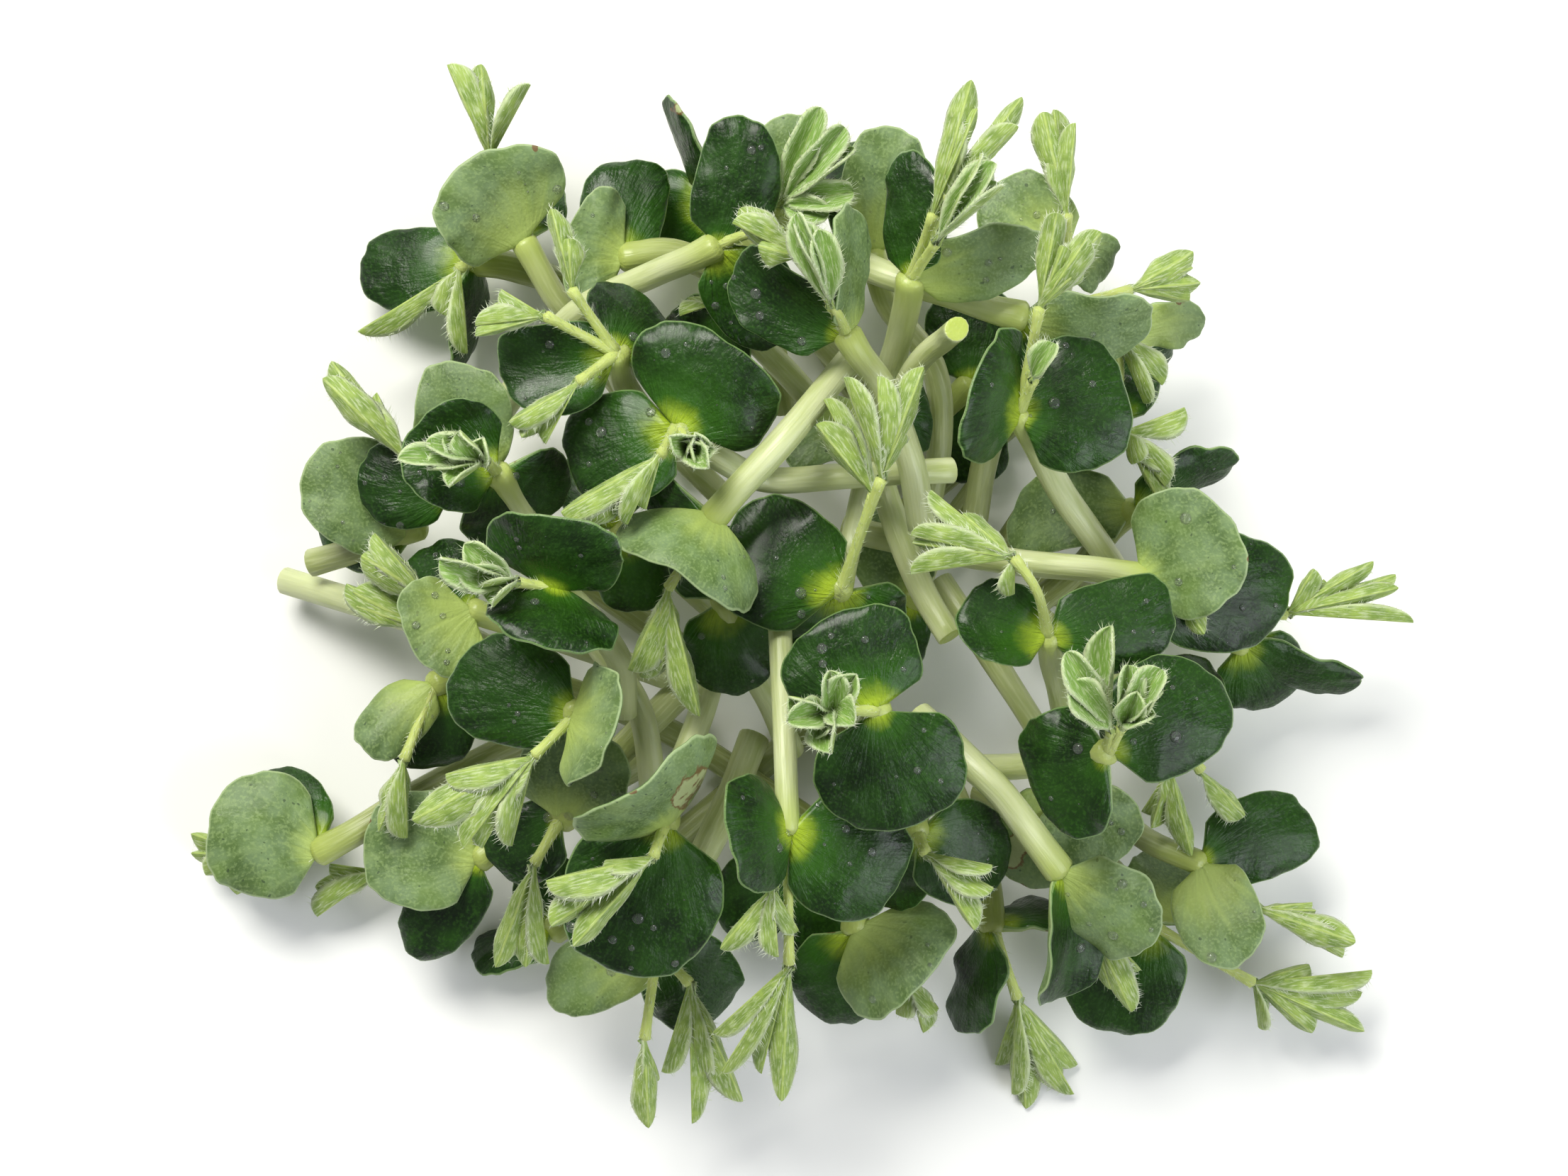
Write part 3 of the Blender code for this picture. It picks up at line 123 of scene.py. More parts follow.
# A seed leaf by the middle of its far edge and how much higher that is than the node.
# roll 0 turns its upper face up and 180 its underside; bend curls it along its length and cup across it.
def seedLeaf(x, y, rise, roll=0.0, width=seedLeafSetup["width"], bend=10.0, cup=-16.0):
    return dict(tip=(x, y), rise=rise, roll=roll, width=width, bend=bend, cup=cup)


# A palmate leaf: where its stalk ends, and the tip of each folded leaflet, rise higher than the hub.
# via is a point that the stalk passes on its way.
def leaf(hub, tips, rise=0.0, width=leafletSetup["width"], via=None):
    return dict(hub=hub, tips=tips, rise=rise, width=width, via=via)


# Each seedling: its node, where the seed leaves join the stem, the stem's points down to its cut end,
# and what grows from the node.
seedlings = {
    1: dict(
        node=(-35, 46.5, 24), stem=[(-31, 39.5, 22), (-28.5, 36.5, 20), (-22, 27, 13), (-14, 17, 8)],
        seedLeaves=[seedLeaf(-43.5, 56.5, 7, 180, 21), seedLeaf(-37.5, 56, -9, 0, 18)],
        leaves=[leaf((-39.5, 57.5, 24), [(-45.3, 70.3), (-40.7, 70.4), (-34, 67.6)], 2)],
    ),
    2: dict(
        node=(-42, 44, 14), stem=[(-36, 43, 12), (-28, 40, 9), (-12, 31, 4)],
        seedLeaves=[seedLeaf(-57, 43, -4, -10, 13), seedLeaf(-43.5, 29.5, -5, 70, 12)],
        leaves=[leaf((-43.5, 43, 20), [(-57.3, 34.5), (-45.3, 36.5), (-42.5, 31.5)], -1)],
    ),
    3: dict(
        node=(-21.5, 44.5, 23), stem=[(-15, 45, 22), (-8, 42, 18), (2, 36, 12), (10, 28, 8)],
        seedLeaves=[seedLeaf(-29.5, 46, 3, 180, 18), seedLeaf(-19, 57.6, -4, 0, 13)],
    ),
    4: dict(
        node=(-9, 46, 40),
        stem=[(-12, 44.5, 39), (-18, 42, 35), (-27, 37.5, 29), (-33, 31, 22), (-38, 24, 15)],
        seedLeaves=[seedLeaf(-5.5, 63.3, 2, 0, 13), seedLeaf(1, 33.5, -5, -20, 13, cup=30)],
        leaves=[leaf((-4.5, 47.8, 43), [(1, 44.5), (0, 48.5)], -1)],
    ),
    5: dict(
        node=(-22.5, 31.5, 40), stem=[(-21.3, 27, 35), (-16, 20, 27), (-8, 12, 20)],
        seedLeaves=[seedLeaf(-38.5, 30, -1, 0, 14, cup=50), seedLeaf(-16.5, 37, -9, 0, 19)],
        leaves=[
            leaf((-32, 36.5, 46), [(-38, 40.2), (-39.5, 37.6), (-41.5, 35.2), (-41.5, 33.8)], 0, 4),
            leaf((-28.5, 40, 46), [(-31.3, 51), (-29, 47)], 3),
            leaf((-27.5, 27.8, 47), [(-37, 22.3), (-35.3, 20.2), (-32, 19.3)], -2),
        ],
    ),
    6: dict(
        node=(8.5, 34, 47), stem=[(10, 31.5, 45), (13.5, 26.5, 40), (17, 17, 32), (18.5, 8, 26)],
        seedLeaves=[seedLeaf(-6.5, 44.5, -1, 30, 13, cup=50), seedLeaf(8, 51.5, 4, 115, 12)],
        leaves=[
            leaf((6.3, 38, 53), [(2, 50.5), (1.2, 48.8), (4.4, 48.3)], 5),
            leaf((2, 44.5, 54), [(-6, 51), (-7, 49), (-3.5, 46)], 0, via=(6.8, 37.5, 53)),
        ],
    ),
    8: dict(
        node=(-14.5, 21.5, 43),
        stem=[(-8, 17, 40), (-2, 14.5, 36), (8, 15, 33), (16, 15.5, 31), (22.5, 15.8, 30)],
        seedLeaves=[seedLeaf(-6.4, 32.5, 5, 0, 24), seedLeaf(-29, 15.5, -3, 0, 17)],
        leaves=[
            leaf((-16.5, 18, 51), [(-30, 10.2), (-26.5, 9), (-21, 8.5), (-18.5, 10.5)], -1, 5),
            leaf((-12.5, 19.5, 47), [(-15.5, 20.5), (-12, 21), (-10, 19), (-12, 16.5), (-10, 16)], 8, 4),
        ],
    ),
    9: dict(
        node=(7.5, -0.5, 40),
        stem=[(9, 6, 33), (12, 18, 30), (17.5, 29.5, 35), (21.8, 33.6, 42), (23.2, 34.8, 51)],
        seedLeaves=[seedLeaf(-7.5, 8.5, -4, 0, 19.5), seedLeaf(10, -8, -11, 0, 19)],
        leaves=[
            leaf((13, 14.5, 50), [(8, 28.3), (12.5, 28.5), (18.8, 29.7), (15.8, 21), (9.5, 24)], 3, 5),
            leaf((12, 12.5, 46), [(4.3, 22), (5.3, 25.3), (8.3, 19.5)], 0),
        ],
    ),
    10: dict(
        node=(12.5, -16.5, 52), stem=[(12, -15, 44), (8, -8, 32), (0, 2, 20)],
        seedLeaves=[seedLeaf(8, -3, 0, 0, 21), seedLeaf(16.5, -32, -3, 0, 23)],
        leaves=[
            leaf((6.5, -16.5, 56), [
                (6, -11), (9.8, -11.5), (0.5, -14.5), (0.3, -18), (4, -20.5), (6.5, -22.3), (9.5, -18.5),
            ], 5),
        ],
    ),
    11: dict(
        node=(-9.5, 9.5, 46), stem=[(-6.5, 13, 46), (0, 20, 45), (7, 28.5, 41), (9.5, 31.5, 38)],
        seedLeaves=[seedLeaf(-14, 1.5, 9, 180, 23, cup=55), seedLeaf(-15, 5, -11, 0, 18)],
        leaves=[leaf((-15.5, 0, 41), [(-21, -11), (-19.3, -12), (-15.2, -9), (-11.3, -17.3)], -3, 5.6)],
    ),
    12: dict(
        node=(-31, 0, 46), stem=[(-27, -3, 38), (-22, -10, 29), (-21.5, -17, 24)],
        seedLeaves=[seedLeaf(-28.5, 9.3, 8, 0, 21), seedLeaf(-33, -7.7, 9, 0, 20)],
        leaves=[leaf((-36, 0.8, 50), [(-46.2, 4.2), (-43, 6), (-39, -2.6), (-44, 2.5), (-41, 0)], 4)],
    ),
    13: dict(
        node=(-38.5, 15.5, 40),
        stem=[(-34, 8, 32), (-26, -6, 24), (-19.5, -16, 22), (-17.5, -27, 17), (-16, -36, 12)],
        seedLeaves=[seedLeaf(-32.5, 8.5, -9, 0, 19), seedLeaf(-51, 19, 4, 0, 17, cup=45)],
        leaves=[
            leaf((-40, 17, 45), [
                (-52, 17.2), (-48.3, 19.2), (-46, 20.6), (-43.5, 21.3),
                (-40.3, 20.3), (-48, 15.8), (-45, 13.4),
            ], 6, 4),
        ],
    ),
    14: dict(
        node=(-44, 14, 28), stem=[(-38, 10, 21), (-28, 2, 13), (-14, -8, 4)],
        seedLeaves=[seedLeaf(-57.3, 15.5, -2, 0, 13), seedLeaf(-43.8, 30.5, 3, 180, 15)],
        leaves=[leaf((-51, 17.5, 34), [(-60.8, 30.5), (-62, 28.2), (-58, 24), (-54.7, 26.3)], -2, 5)],
    ),
    15: dict(
        node=(-49, 8.5, 22), stem=[(-53, 7, 20), (-58, 5, 17), (-63.5, 3.4, 13)],
        seedLeaves=[seedLeaf(-64, 16.5, 3, 180, 17), seedLeaf(-62, 12, -8, 0, 16)],
    ),
    16: dict(
        node=(-42, -3, 32), stem=[(-36, -5, 29), (-27, -8, 21), (-16, -12, 13)],
        seedLeaves=[seedLeaf(-50, -8.3, 4, 180, 16), seedLeaf(-49.5, 4.5, -7, 0, 12)],
        leaves=[
            leaf((-47.5, -1.5, 31), [(-55, 7.4), (-56.8, 4.4), (-55.7, 5.3)], 0, 5),
            leaf((-48.5, -5.5, 28), [(-58.8, 0.6), (-57.5, -2.5), (-58, -0.5)], 0, 5),
        ],
    ),
    17: dict(
        node=(-28, -17, 44), stem=[(-33, -13, 37), (-42, -7, 28), (-54, -3, 19), (-67, 1, 10)],
        seedLeaves=[seedLeaf(-45, -12, -3, 0, 16.5), seedLeaf(-22.5, -18.5, 11, 180, 19)],
        leaves=[
            leaf((-33.5, -22.5, 47), [
                (-45.5, -25), (-50, -31.2), (-43, -35), (-40.5, -35), (-36.5, -34.7), (-41, -28),
            ], -2, 5.6),
        ],
    ),
    18: dict(
        node=(-47, -13, 22),
        stem=[(-40, -11, 18), (-28, -14, 13), (-14, -20, 10), (-3, -27, 9), (6, -33, 8)],
        seedLeaves=[seedLeaf(-56.3, -22.3, 3, 170, 9.5, cup=40), seedLeaf(-50, -24, -6, 0, 14)],
        leaves=[leaf((-51, -23, 26), [(-54.5, -32.8), (-50.6, -33.6), (-52.3, -32)], -3)],
    ),
    19: dict(
        node=(-62.5, -35.5, 16), stem=[(-57, -32.5, 17), (-48, -27, 14), (-34, -20, 9), (-26, -16, 5)],
        seedLeaves=[seedLeaf(-77.5, -33, 1, 180, 19, cup=30), seedLeaf(-71.3, -25.5, -8, 0, 11)],
        leaves=[leaf((-70, -36, 13), [(-79.7, -33), (-79.7, -35.6), (-77.7, -38.6), (-73.5, -41.2)], -3)],
    ),
    20: dict(
        node=(-41, -36.5, 20), stem=[(-36, -33, 18), (-27, -28, 13), (-18, -23, 8)],
        seedLeaves=[seedLeaf(-56.5, -35, -1, 180, 18), seedLeaf(-50.3, -49, -6, 0, 11)],
        leaves=[leaf((-54, -38, 12), [(-63, -40.2), (-62.7, -44.2), (-61, -37)], -3)],
    ),
    21: dict(
        node=(-30, -31, 27), stem=[(-24, -24, 21), (-14, -14, 12)],
        seedLeaves=[seedLeaf(-26, -19, 6, 180, 17), seedLeaf(-40, -36, -6, 0, 12)],
        leaves=[leaf((-33.5, -37, 29), [(-38.8, -51), (-34.7, -51), (-31.5, -50.5)], -5)],
    ),
    22: dict(
        node=(-16, -31.5, 46), stem=[(-15, -27, 38), (-11, -16.5, 27), (-9, -8, 18)],
        seedLeaves=[seedLeaf(-22.5, -51.5, -4, 0, 24), seedLeaf(-19.5, -26.5, 13, 180, 25, cup=40)],
        leaves=[leaf((-17.5, -36, 50), [(-32, -39.3), (-31.3, -45.5), (-28.3, -48.2), (-24, -36.5)], 1, 6)],
    ),
    23: dict(
        node=(-31, -46, 8), stem=[(-22, -40, 6), (-10, -30, 3), (4, -18, 1.5)],
        seedLeaves=[seedLeaf(-42, -49.5, -3, -50, 11), seedLeaf(-33, -36, -2, 0, 11)],
    ),
    25: dict(
        node=(-17, -48.5, 25), stem=[(-13, -40, 21), (-8, -30, 15), (-4, -20, 10)],
        seedLeaves=[seedLeaf(-31.5, -55, -6, 180, 12), seedLeaf(-8, -57, -9, 0, 15)],
        leaves=[
            leaf((-18.7, -60.5, 29), [(-18.2, -72.6), (-16.7, -66)], -4),
            leaf((-12.8, -53, 29), [(-16.5, -65), (-12.4, -72), (-11.5, -68), (-10, -67), (-5.5, -69)], -9),
        ],
    ),
    26: dict(
        node=(0.5, -32.5, 44), stem=[(0.3, -27, 43), (0, -18, 40), (-0.5, -7, 35), (-1, 4, 28)],
        seedLeaves=[seedLeaf(-7.5, -34, 9, 0, 18), seedLeaf(16.5, -38.5, -3, 0, 18)],
        leaves=[
            leaf((0.7, -50.5, 40), [
                (-9.6, -59.7), (-8.5, -65), (-3, -65.3), (-0.3, -69), (-5, -57),
            ], -9, 4),
            leaf((-1.5, -40, 45), [(-8.6, -48.5), (-0.7, -49.6), (2, -46), (-4, -45)], -3, 4),
        ],
    ),
    27: dict(
        node=(9.5, -46, 24), stem=[(10, -38, 20), (9, -26, 10)],
        seedLeaves=[seedLeaf(18, -54, 5, 180, 20, cup=45), seedLeaf(7, -58.5, -8, 0, 14)],
        leaves=[leaf((16.5, -52, 18), [(18.7, -59.8), (20.8, -56.5), (15, -57.2)], -3)],
    ),
    28: dict(
        node=(18, -33, 34), stem=[(17, -27, 27), (14, -20, 20), (11, -10, 12)],
        seedLeaves=[seedLeaf(29.5, -38.5, -7, 0, 16), seedLeaf(12, -42, -11, 0, 15)],
        leaves=[leaf((19, -35.5, 38), [(28, -37.2), (28.2, -40.3), (25.8, -41.5), (25.6, -46)], 1)],
    ),
    29: dict(
        node=(37, -38, 32), stem=[(34, -34, 33), (29.5, -28, 34), (25.5, -24, 33), (18, -17, 28)],
        seedLeaves=[seedLeaf(49, -48.5, -2, 150, 15, cup=30), seedLeaf(35.3, -56, -6, 50, 13, cup=60)],
        leaves=[leaf((40.5, -43.5, 24), [(46.7, -57), (48, -51.3), (44, -54)], -2)],
    ),
    30: dict(
        node=(49, -45, 20), stem=[(44, -38, 16), (36, -32, 10), (26, -27, 5)],
        seedLeaves=[seedLeaf(43, -59.5, -6, 0, 18), seedLeaf(53, -36.5, -9, 180, 13)],
        leaves=[
            leaf((63, -53, 16), [
                (79, -51.3), (77.7, -54.3), (78, -59.6), (71, -59.8), (63.7, -59), (70.5, -50.5),
            ], -4),
        ],
    ),
    31: dict(
        node=(56, -37, 22), stem=[(49, -34, 19), (43, -29, 14), (36, -22, 8)],
        seedLeaves=[seedLeaf(61.5, -50.5, 4, 180, 13), seedLeaf(71.5, -31.5, -5, 0, 13)],
        leaves=[leaf((63.5, -43, 23), [(71, -42.2), (76.8, -47.6), (75, -49.7), (71.5, -43.3)], -2)],
    ),
    32: dict(
        node=(43.5, -22, 48), stem=[(38, -23, 40), (31, -24, 32), (20, -24, 24)],
        seedLeaves=[seedLeaf(32.5, -25.5, -7, 0, 20), seedLeaf(59, -13.5, -4, 0, 18)],
        leaves=[
            leaf((44, -19, 52), [(44.2, -5), (38, -8.5), (38.3, -12.7)], 4, 5),
            leaf((45.5, -18.5, 53), [
                (46, -10.3), (50.8, -11), (51, -14), (50, -17), (47.5, -13.8),
            ], 5, 4.6),
        ],
    ),
    33: dict(
        node=(38, -27, 26), stem=[(34.5, -20, 25), (32.5, -16.5, 25), (27, -8, 24), (21, 1, 20)],
        seedLeaves=[seedLeaf(43, -38, -2, 180, 15), seedLeaf(31, -39.5, -5, 180, 14)],
    ),
    34: dict(
        node=(48, 1.5, 33), stem=[(42, 2.5, 35), (36, 3, 35), (31, 3.5, 34), (22, 5, 27), (8, 8, 16)],
        seedLeaves=[seedLeaf(61, 7.5, 5, 180, 20), seedLeaf(68, -0.7, -6, 0, 18.5)],
        leaves=[
            leaf((53.5, -1.5, 34), [(56.5, -6.2), (55, -4)], 0, 3.6),
            leaf((67.5, -3.5, 24), [
                (71.2, 2.6), (72.5, 1.2), (79.2, 3.6), (82.2, 1.8), (82.6, 0), (84.6, -4.7),
            ], 2, 3.6, via=(58, -3, 24)),
        ],
    ),
    35: dict(
        node=(35.5, -6.5, 44), stem=[(36, -10, 34), (37, -14, 29), (38, -19, 22)],
        seedLeaves=[seedLeaf(52.5, -2, -3, 0, 14), seedLeaf(23.5, -3, 2, -15, 13, cup=50)],
        leaves=[
            leaf((31, 4, 51), [
                (19.8, 13.2), (17, 7), (17.2, 6), (17, 1.8), (31, -0.8), (24, 10),
            ], -2, via=(34, -0.5, 49.5)),
        ],
    ),
    36: dict(
        node=(31.5, 23.5, 44), stem=[(34, 19, 38), (37.5, 12.5, 32), (43.5, 4, 26), (46, -1, 22)],
        seedLeaves=[seedLeaf(24.8, 25.5, 9, 0, 21), seedLeaf(46.5, 25, -1, 0, 20.5)],
        leaves=[
            leaf((34.3, 37.5, 52), [(36.7, 50.4), (40.7, 47.1), (42.7, 47.8), (40.4, 43.6), (37.5, 46)], 3),
            leaf((33.5, 28, 49), [(36.6, 32.6)], 2, 4),
        ],
    ),
    37: dict(
        node=(17, 41.5, 44), stem=[(16.5, 38, 42), (15, 32, 37), (13, 26, 32), (10, 17, 25)],
        seedLeaves=[seedLeaf(17, 58.5, 3, 25, 10.5), seedLeaf(35, 46.5, 0, 150, 12)],
        leaves=[
            leaf((20, 50, 52), [(25.2, 68.3), (26, 64.5), (22.5, 64)], 2, 5),
            leaf((22, 53, 53), [(32, 66), (31.5, 62)], 2),
            leaf((20.5, 46.5, 51), [(26.5, 58.5), (28.6, 57), (29.6, 53.8)], 5),
        ],
    ),
    38: dict(
        node=(12, 45, 28), stem=[(14, 38, 26), (20, 30, 23), (21, 20, 19), (19, 8, 13)],
        seedLeaves=[seedLeaf(15, 62, 3, 180, 13), seedLeaf(10, 60, -9, 0, 14)],
    ),
    39: dict(
        node=(32, 36.5, 38), stem=[(28, 37.5, 38), (22, 39.5, 37), (14, 42, 36), (5, 46, 34), (-6, 51, 29)],
        seedLeaves=[seedLeaf(49.5, 36.5, -4, 150, 12), seedLeaf(42, 30, -10, 0, 14)],
        leaves=[leaf((46.5, 40, 30), [(55, 45.2), (56, 41), (54.5, 38.6), (55, 43)], -3)],
    ),
    40: dict(
        node=(-1, 50.5, 33), stem=[(-2, 44, 29), (-2, 36, 22), (0, 24, 15)],
        seedLeaves=[seedLeaf(3, 63.5, 1, 180, 12), seedLeaf(-3, 62, -8, 0, 12)],
        leaves=[leaf((-0.5, 51.5, 37), [(5, 64.6), (8, 62), (9.6, 58.8), (9.2, 53.2), (6, 50)], 3, 4.4)],
    ),
    41: dict(
        node=(38, 45, 26), stem=[(36, 38, 23), (30, 26, 19), (27, 17, 17), (25.5, 8, 14)],
        seedLeaves=[seedLeaf(28, 54, 0, 180, 14), seedLeaf(43, 41.5, -5, 180, 9)],
        leaves=[leaf((38, 50, 32), [(34.8, 64), (36.2, 64.3), (37.7, 60.5), (39.2, 62.5)], 2)],
    ),
    42: dict(
        node=(46, 34, 20), stem=[(38, 28, 14), (28, 20, 8), (16, 10, 3)],
        seedLeaves=[seedLeaf(56.5, 35.5, -4, 150, 8), seedLeaf(51, 29.5, -7, 0, 9)],
    ),
    43: dict(
        node=(43, 22, 30), stem=[(38, 17, 22), (34, 12, 14), (30, 6, 8)],
        seedLeaves=[seedLeaf(33, 24, -9, 0, 13), seedLeaf(44, 33, -8, 0, 14)],
        leaves=[
            leaf((44.5, 34, 34), [(50.8, 27.2), (48.3, 24.8)], -3, via=(45, 28, 30)),
            leaf((45.5, 21, 32), [
                (53.8, 24.3), (52.3, 17.2), (51.2, 13.6), (50.7, 11), (46.7, 16.6),
            ], 0, 5),
        ],
    ),
    44: dict(
        node=(47, 10.5, 24), stem=[(44, 8, 20), (40, 3, 13), (34, -2, 7)],
        seedLeaves=[seedLeaf(60.5, 18, 3, -50, 10), seedLeaf(30, 7.5, -6, 170, 12)],
    ),
    45: dict(
        node=(62, -7, 19), stem=[(54, -5, 16), (44, -2, 9), (34, 0, 3)],
        seedLeaves=[seedLeaf(77.5, -13, -5, -45, 8), seedLeaf(67, -15, -7, 0, 14)],
    ),
    47: dict(
        node=(53, -20, 28), stem=[(46, -14, 21), (39, -8, 14), (32, -2, 8)],
        seedLeaves=[seedLeaf(53, -9, -8, 0, 14), seedLeaf(44, -14, -9, 0, 14)],
        leaves=[
            leaf((52, -24, 28), [(48, -30), (49.3, -32.3), (54.8, -36), (53, -30)], -5),
            leaf((56, -24.5, 26), [(62, -30.5)], -4),
        ],
    ),
    48: dict(
        node=(28, -45.5, 18), stem=[(27, -38, 15), (22, -26, 8)],
        seedLeaves=[seedLeaf(23.5, -59.5, -6, -50, 12), seedLeaf(36, -42, -8, 60, 11)],
        leaves=[
            leaf((31.3, -55, 14), [
                (28.3, -64), (30.6, -68), (32.5, -70), (39.5, -64), (39, -68), (37.3, -67.6),
            ], -8),
        ],
    ),
    52: dict(
        node=(-8, -1.5, 34), stem=[(-6, -8, 27), (-2, -15, 20), (1, -22, 14)],
        seedLeaves=[seedLeaf(-5.5, -14, -5, 0, 14), seedLeaf(-10, 8, -8, 0, 14)],
    ),
    53: dict(
        node=(3, -38, 17), stem=[(6, -30, 12), (9, -18, 6), (11, -8, 3)],
        seedLeaves=[seedLeaf(6, -50, -3, 0, 12), seedLeaf(-8.5, -45, -4, 0, 13)],
    ),
    55: dict(
        node=(12, 22, 26), stem=[(13, 15, 24), (16, 6, 24), (19, -1, 26), (22.3, -6.5, 29)],
        seedLeaves=[seedLeaf(0, 18, -2, 150, 11), seedLeaf(20, 23, -4, 0, 13)],
    ),
    56: dict(
        node=(-7, 37, 31), stem=[(-4, 33.5, 30), (3, 26, 27), (10, 16, 22), (18, 4, 14)],
        seedLeaves=[seedLeaf(-14, 30, -8, 0, 14), seedLeaf(0, 44, -7, 0, 13)],
        leaves=[leaf((-10, 38, 32), [(-14, 36.5), (-13, 39)], 0, 3)],
    ),
    57: dict(
        node=(-9.5, 51, 15), stem=[(-4, 45, 13), (4, 35, 9), (10, 26, 5)],
        seedLeaves=[seedLeaf(-15.5, 66, 6, 72, 10), seedLeaf(-19, 47.5, -3, 0, 13)],
    ),
    58: dict(
        node=(25, 27.5, 13), stem=[(20, 22, 10), (12, 14, 6)],
        seedLeaves=[seedLeaf(24.5, 41, -1, 0, 14), seedLeaf(26.5, 14, -5, 0, 12)],
    ),
    59: dict(
        node=(17, -2, 19), stem=[(20, 5, 15), (26, 13, 8)],
        seedLeaves=[seedLeaf(11, 10, 2, 180, 12), seedLeaf(14, -12, -4, 0, 11)],
    ),
    60: dict(
        node=(-22, 8, 22), stem=[(-17, 4, 18), (-8, -4, 12), (2, -12, 6)],
        seedLeaves=[seedLeaf(-19, -3, -2, 0, 12), seedLeaf(-27, 19, -5, 0, 12)],
    ),
}


# Moves points from where they are seen on the plane of the heap's middle to their own heights.
def seenAt(points):
    scale = (viewSetup["eyeHeight"] - points[:, 2:3]) / (viewSetup["eyeHeight"] - viewSetup["planeHeight"])
    return np.hstack([points[:, :2] * scale, points[:, 2:3]])


def unit(vector):
    return vector / max(np.linalg.norm(vector), 1e-9)


# Numbers the controls of one seedling and draws the small differences between its leaves.
def plan(number, spec, seed):
    blade, slim, draw = seedLeafSetup, leafletSetup, np.random.default_rng(seed)
    spots = [spec["node"], *spec["stem"]]
    stem = list(range(len(spots)))
    seedLeaves, leaves = [], []
    for item in spec["seedLeaves"]:
        tip = len(spots)
        spots += [(*item["tip"], spec["node"][2] + item["rise"]), (0, 0, 0), (0, 0, 0), (0, 0, 0)]
        seedLeaves.append(dict(
            item, index=tip, lifts=[tip + 1, tip + 2, tip + 3],
            wave=draw.uniform(*blade["wave"]), turns=draw.uniform(*blade["turns"]),
            phase=draw.uniform(0, 2 * math.pi), skew=draw.uniform(*blade["skew"]),
        ))
    for item in spec.get("leaves", ()):
        path, tips = [0], []
        for spot in filter(None, (item["via"], item["hub"])):
            path.append(len(spots))
            spots.append(spot)
        for x, y in item["tips"]:
            tips.append(dict(
                index=len(spots), width=item["width"] * draw.uniform(*slim["slimWide"]),
                **{name: draw.uniform(*slim[name]) for name in ("fold", "roll", "arch")},
            ))
            spots.append((x, y, item["hub"][2] + item["rise"] + draw.uniform(*slim["uneven"])))
        leaves.append(dict(path=path, tips=tips))
    spots = np.array(spots, float)
    radius = stemSetup["radius"] * draw.uniform(*stemSetup["thinThick"])
    return dict(
        name=f"seedling_{number:02d}", places=spots[:, :2], heights=spots[:, 2].copy(),
        stem=stem, radius=radius, seedLeaves=seedLeaves, leaves=leaves,
    )


def control(seedling, index):
    return np.array([*seedling["places"][index], seedling["heights"][index]])


# Points along a smooth path through some controls, and each point's share of every one of them.
def curve(seedling, indices, step):
    points = np.array([control(seedling, i) for i in indices])
    count, rows = len(points), []
    for i in range(count - 1):
        pieces = max(1, round(np.linalg.norm(points[i + 1] - points[i]) / step))
        for k in range(pieces + (i == count - 2)):
            t = k / pieces
            row = np.zeros(count)
            weights = (
                (-t + 2 * t * t - t**3) / 2,
                (2 - 5 * t * t + 3 * t**3) / 2,
                (t + 4 * t * t - 3 * t**3) / 2,
                (t**3 - t * t) / 2,
            )
            for j, weight in zip(range(i - 1, i + 3), weights):
                if 0 <= j < count:
                    row[j] += weight
                else:  # past an end the path goes straight on
                    end, inner = (0, 1) if j < 0 else (count - 1, count - 2)
                    row[end] += 2 * weight
                    row[inner] -= weight
            rows.append(row)
    rows = np.array(rows)
    return rows @ points, rows


# The rings of a round shoot about a path, each turned on without twist, and where its points lie on its skin.
def shoot(path, far, radii, count, uneven=1.0, start=0.0, steep=0.3):
    last = len(path) - 1
    tangents = np.array([unit(path[min(i + 1, last)] - path[max(i - 1, 0)]) for i in range(last + 1)])
    side = np.cross(tangents[0], (0.0, 0.0, 1.0))
    side = unit(side) if np.linalg.norm(side) > steep else np.array((1.0, 0.0, 0.0))
    sides = []
    for tangent in tangents:
        side = unit(side - tangent * np.dot(side, tangent))
        sides.append(side)
    sides = np.array(sides)
    turn = 2 * math.pi * (np.arange(count) + start) / count
    others = np.cross(tangents, sides)
    ways = sides[:, None] * np.cos(turn)[None, :, None] + others[:, None] * np.sin(turn)[None, :, None]
    points = path[:, None] + ways * (radii[:, None] * uneven)[:, :, None]
    place = (np.repeat(far[:, None], count, 1), radii[:, None] * np.cos(turn), radii[:, None] * np.sin(turn))
    return points, np.stack(place, 2), tangents


solidSetup = dict(
    stemSides=4, stemStep=11.0,
    stemHead=1.2, headShare=0.75,  # mm beyond the node, and its share of the radius
    outlineSides=9, midline=0.42,  # a seed leaf's rim and the two points on its midline
    footWidth=0.2, footWiden=5.5,
    leastSpread=math.radians(15), heelSpread=2.4,  # between leaflets, and times that beside the stalk
    station=0.58, roomShare=0.44,  # where leaflets are widest, and their most share of the room between them
    heelTurn=0.8, heelReach=1.1, hubReach=1.0, wideRoom=2.4,  # the hub's outline, in radians and mm
    stalkHalf=0.85, stalkThick=1.7,  # half its width and its thickness, against its radius
)


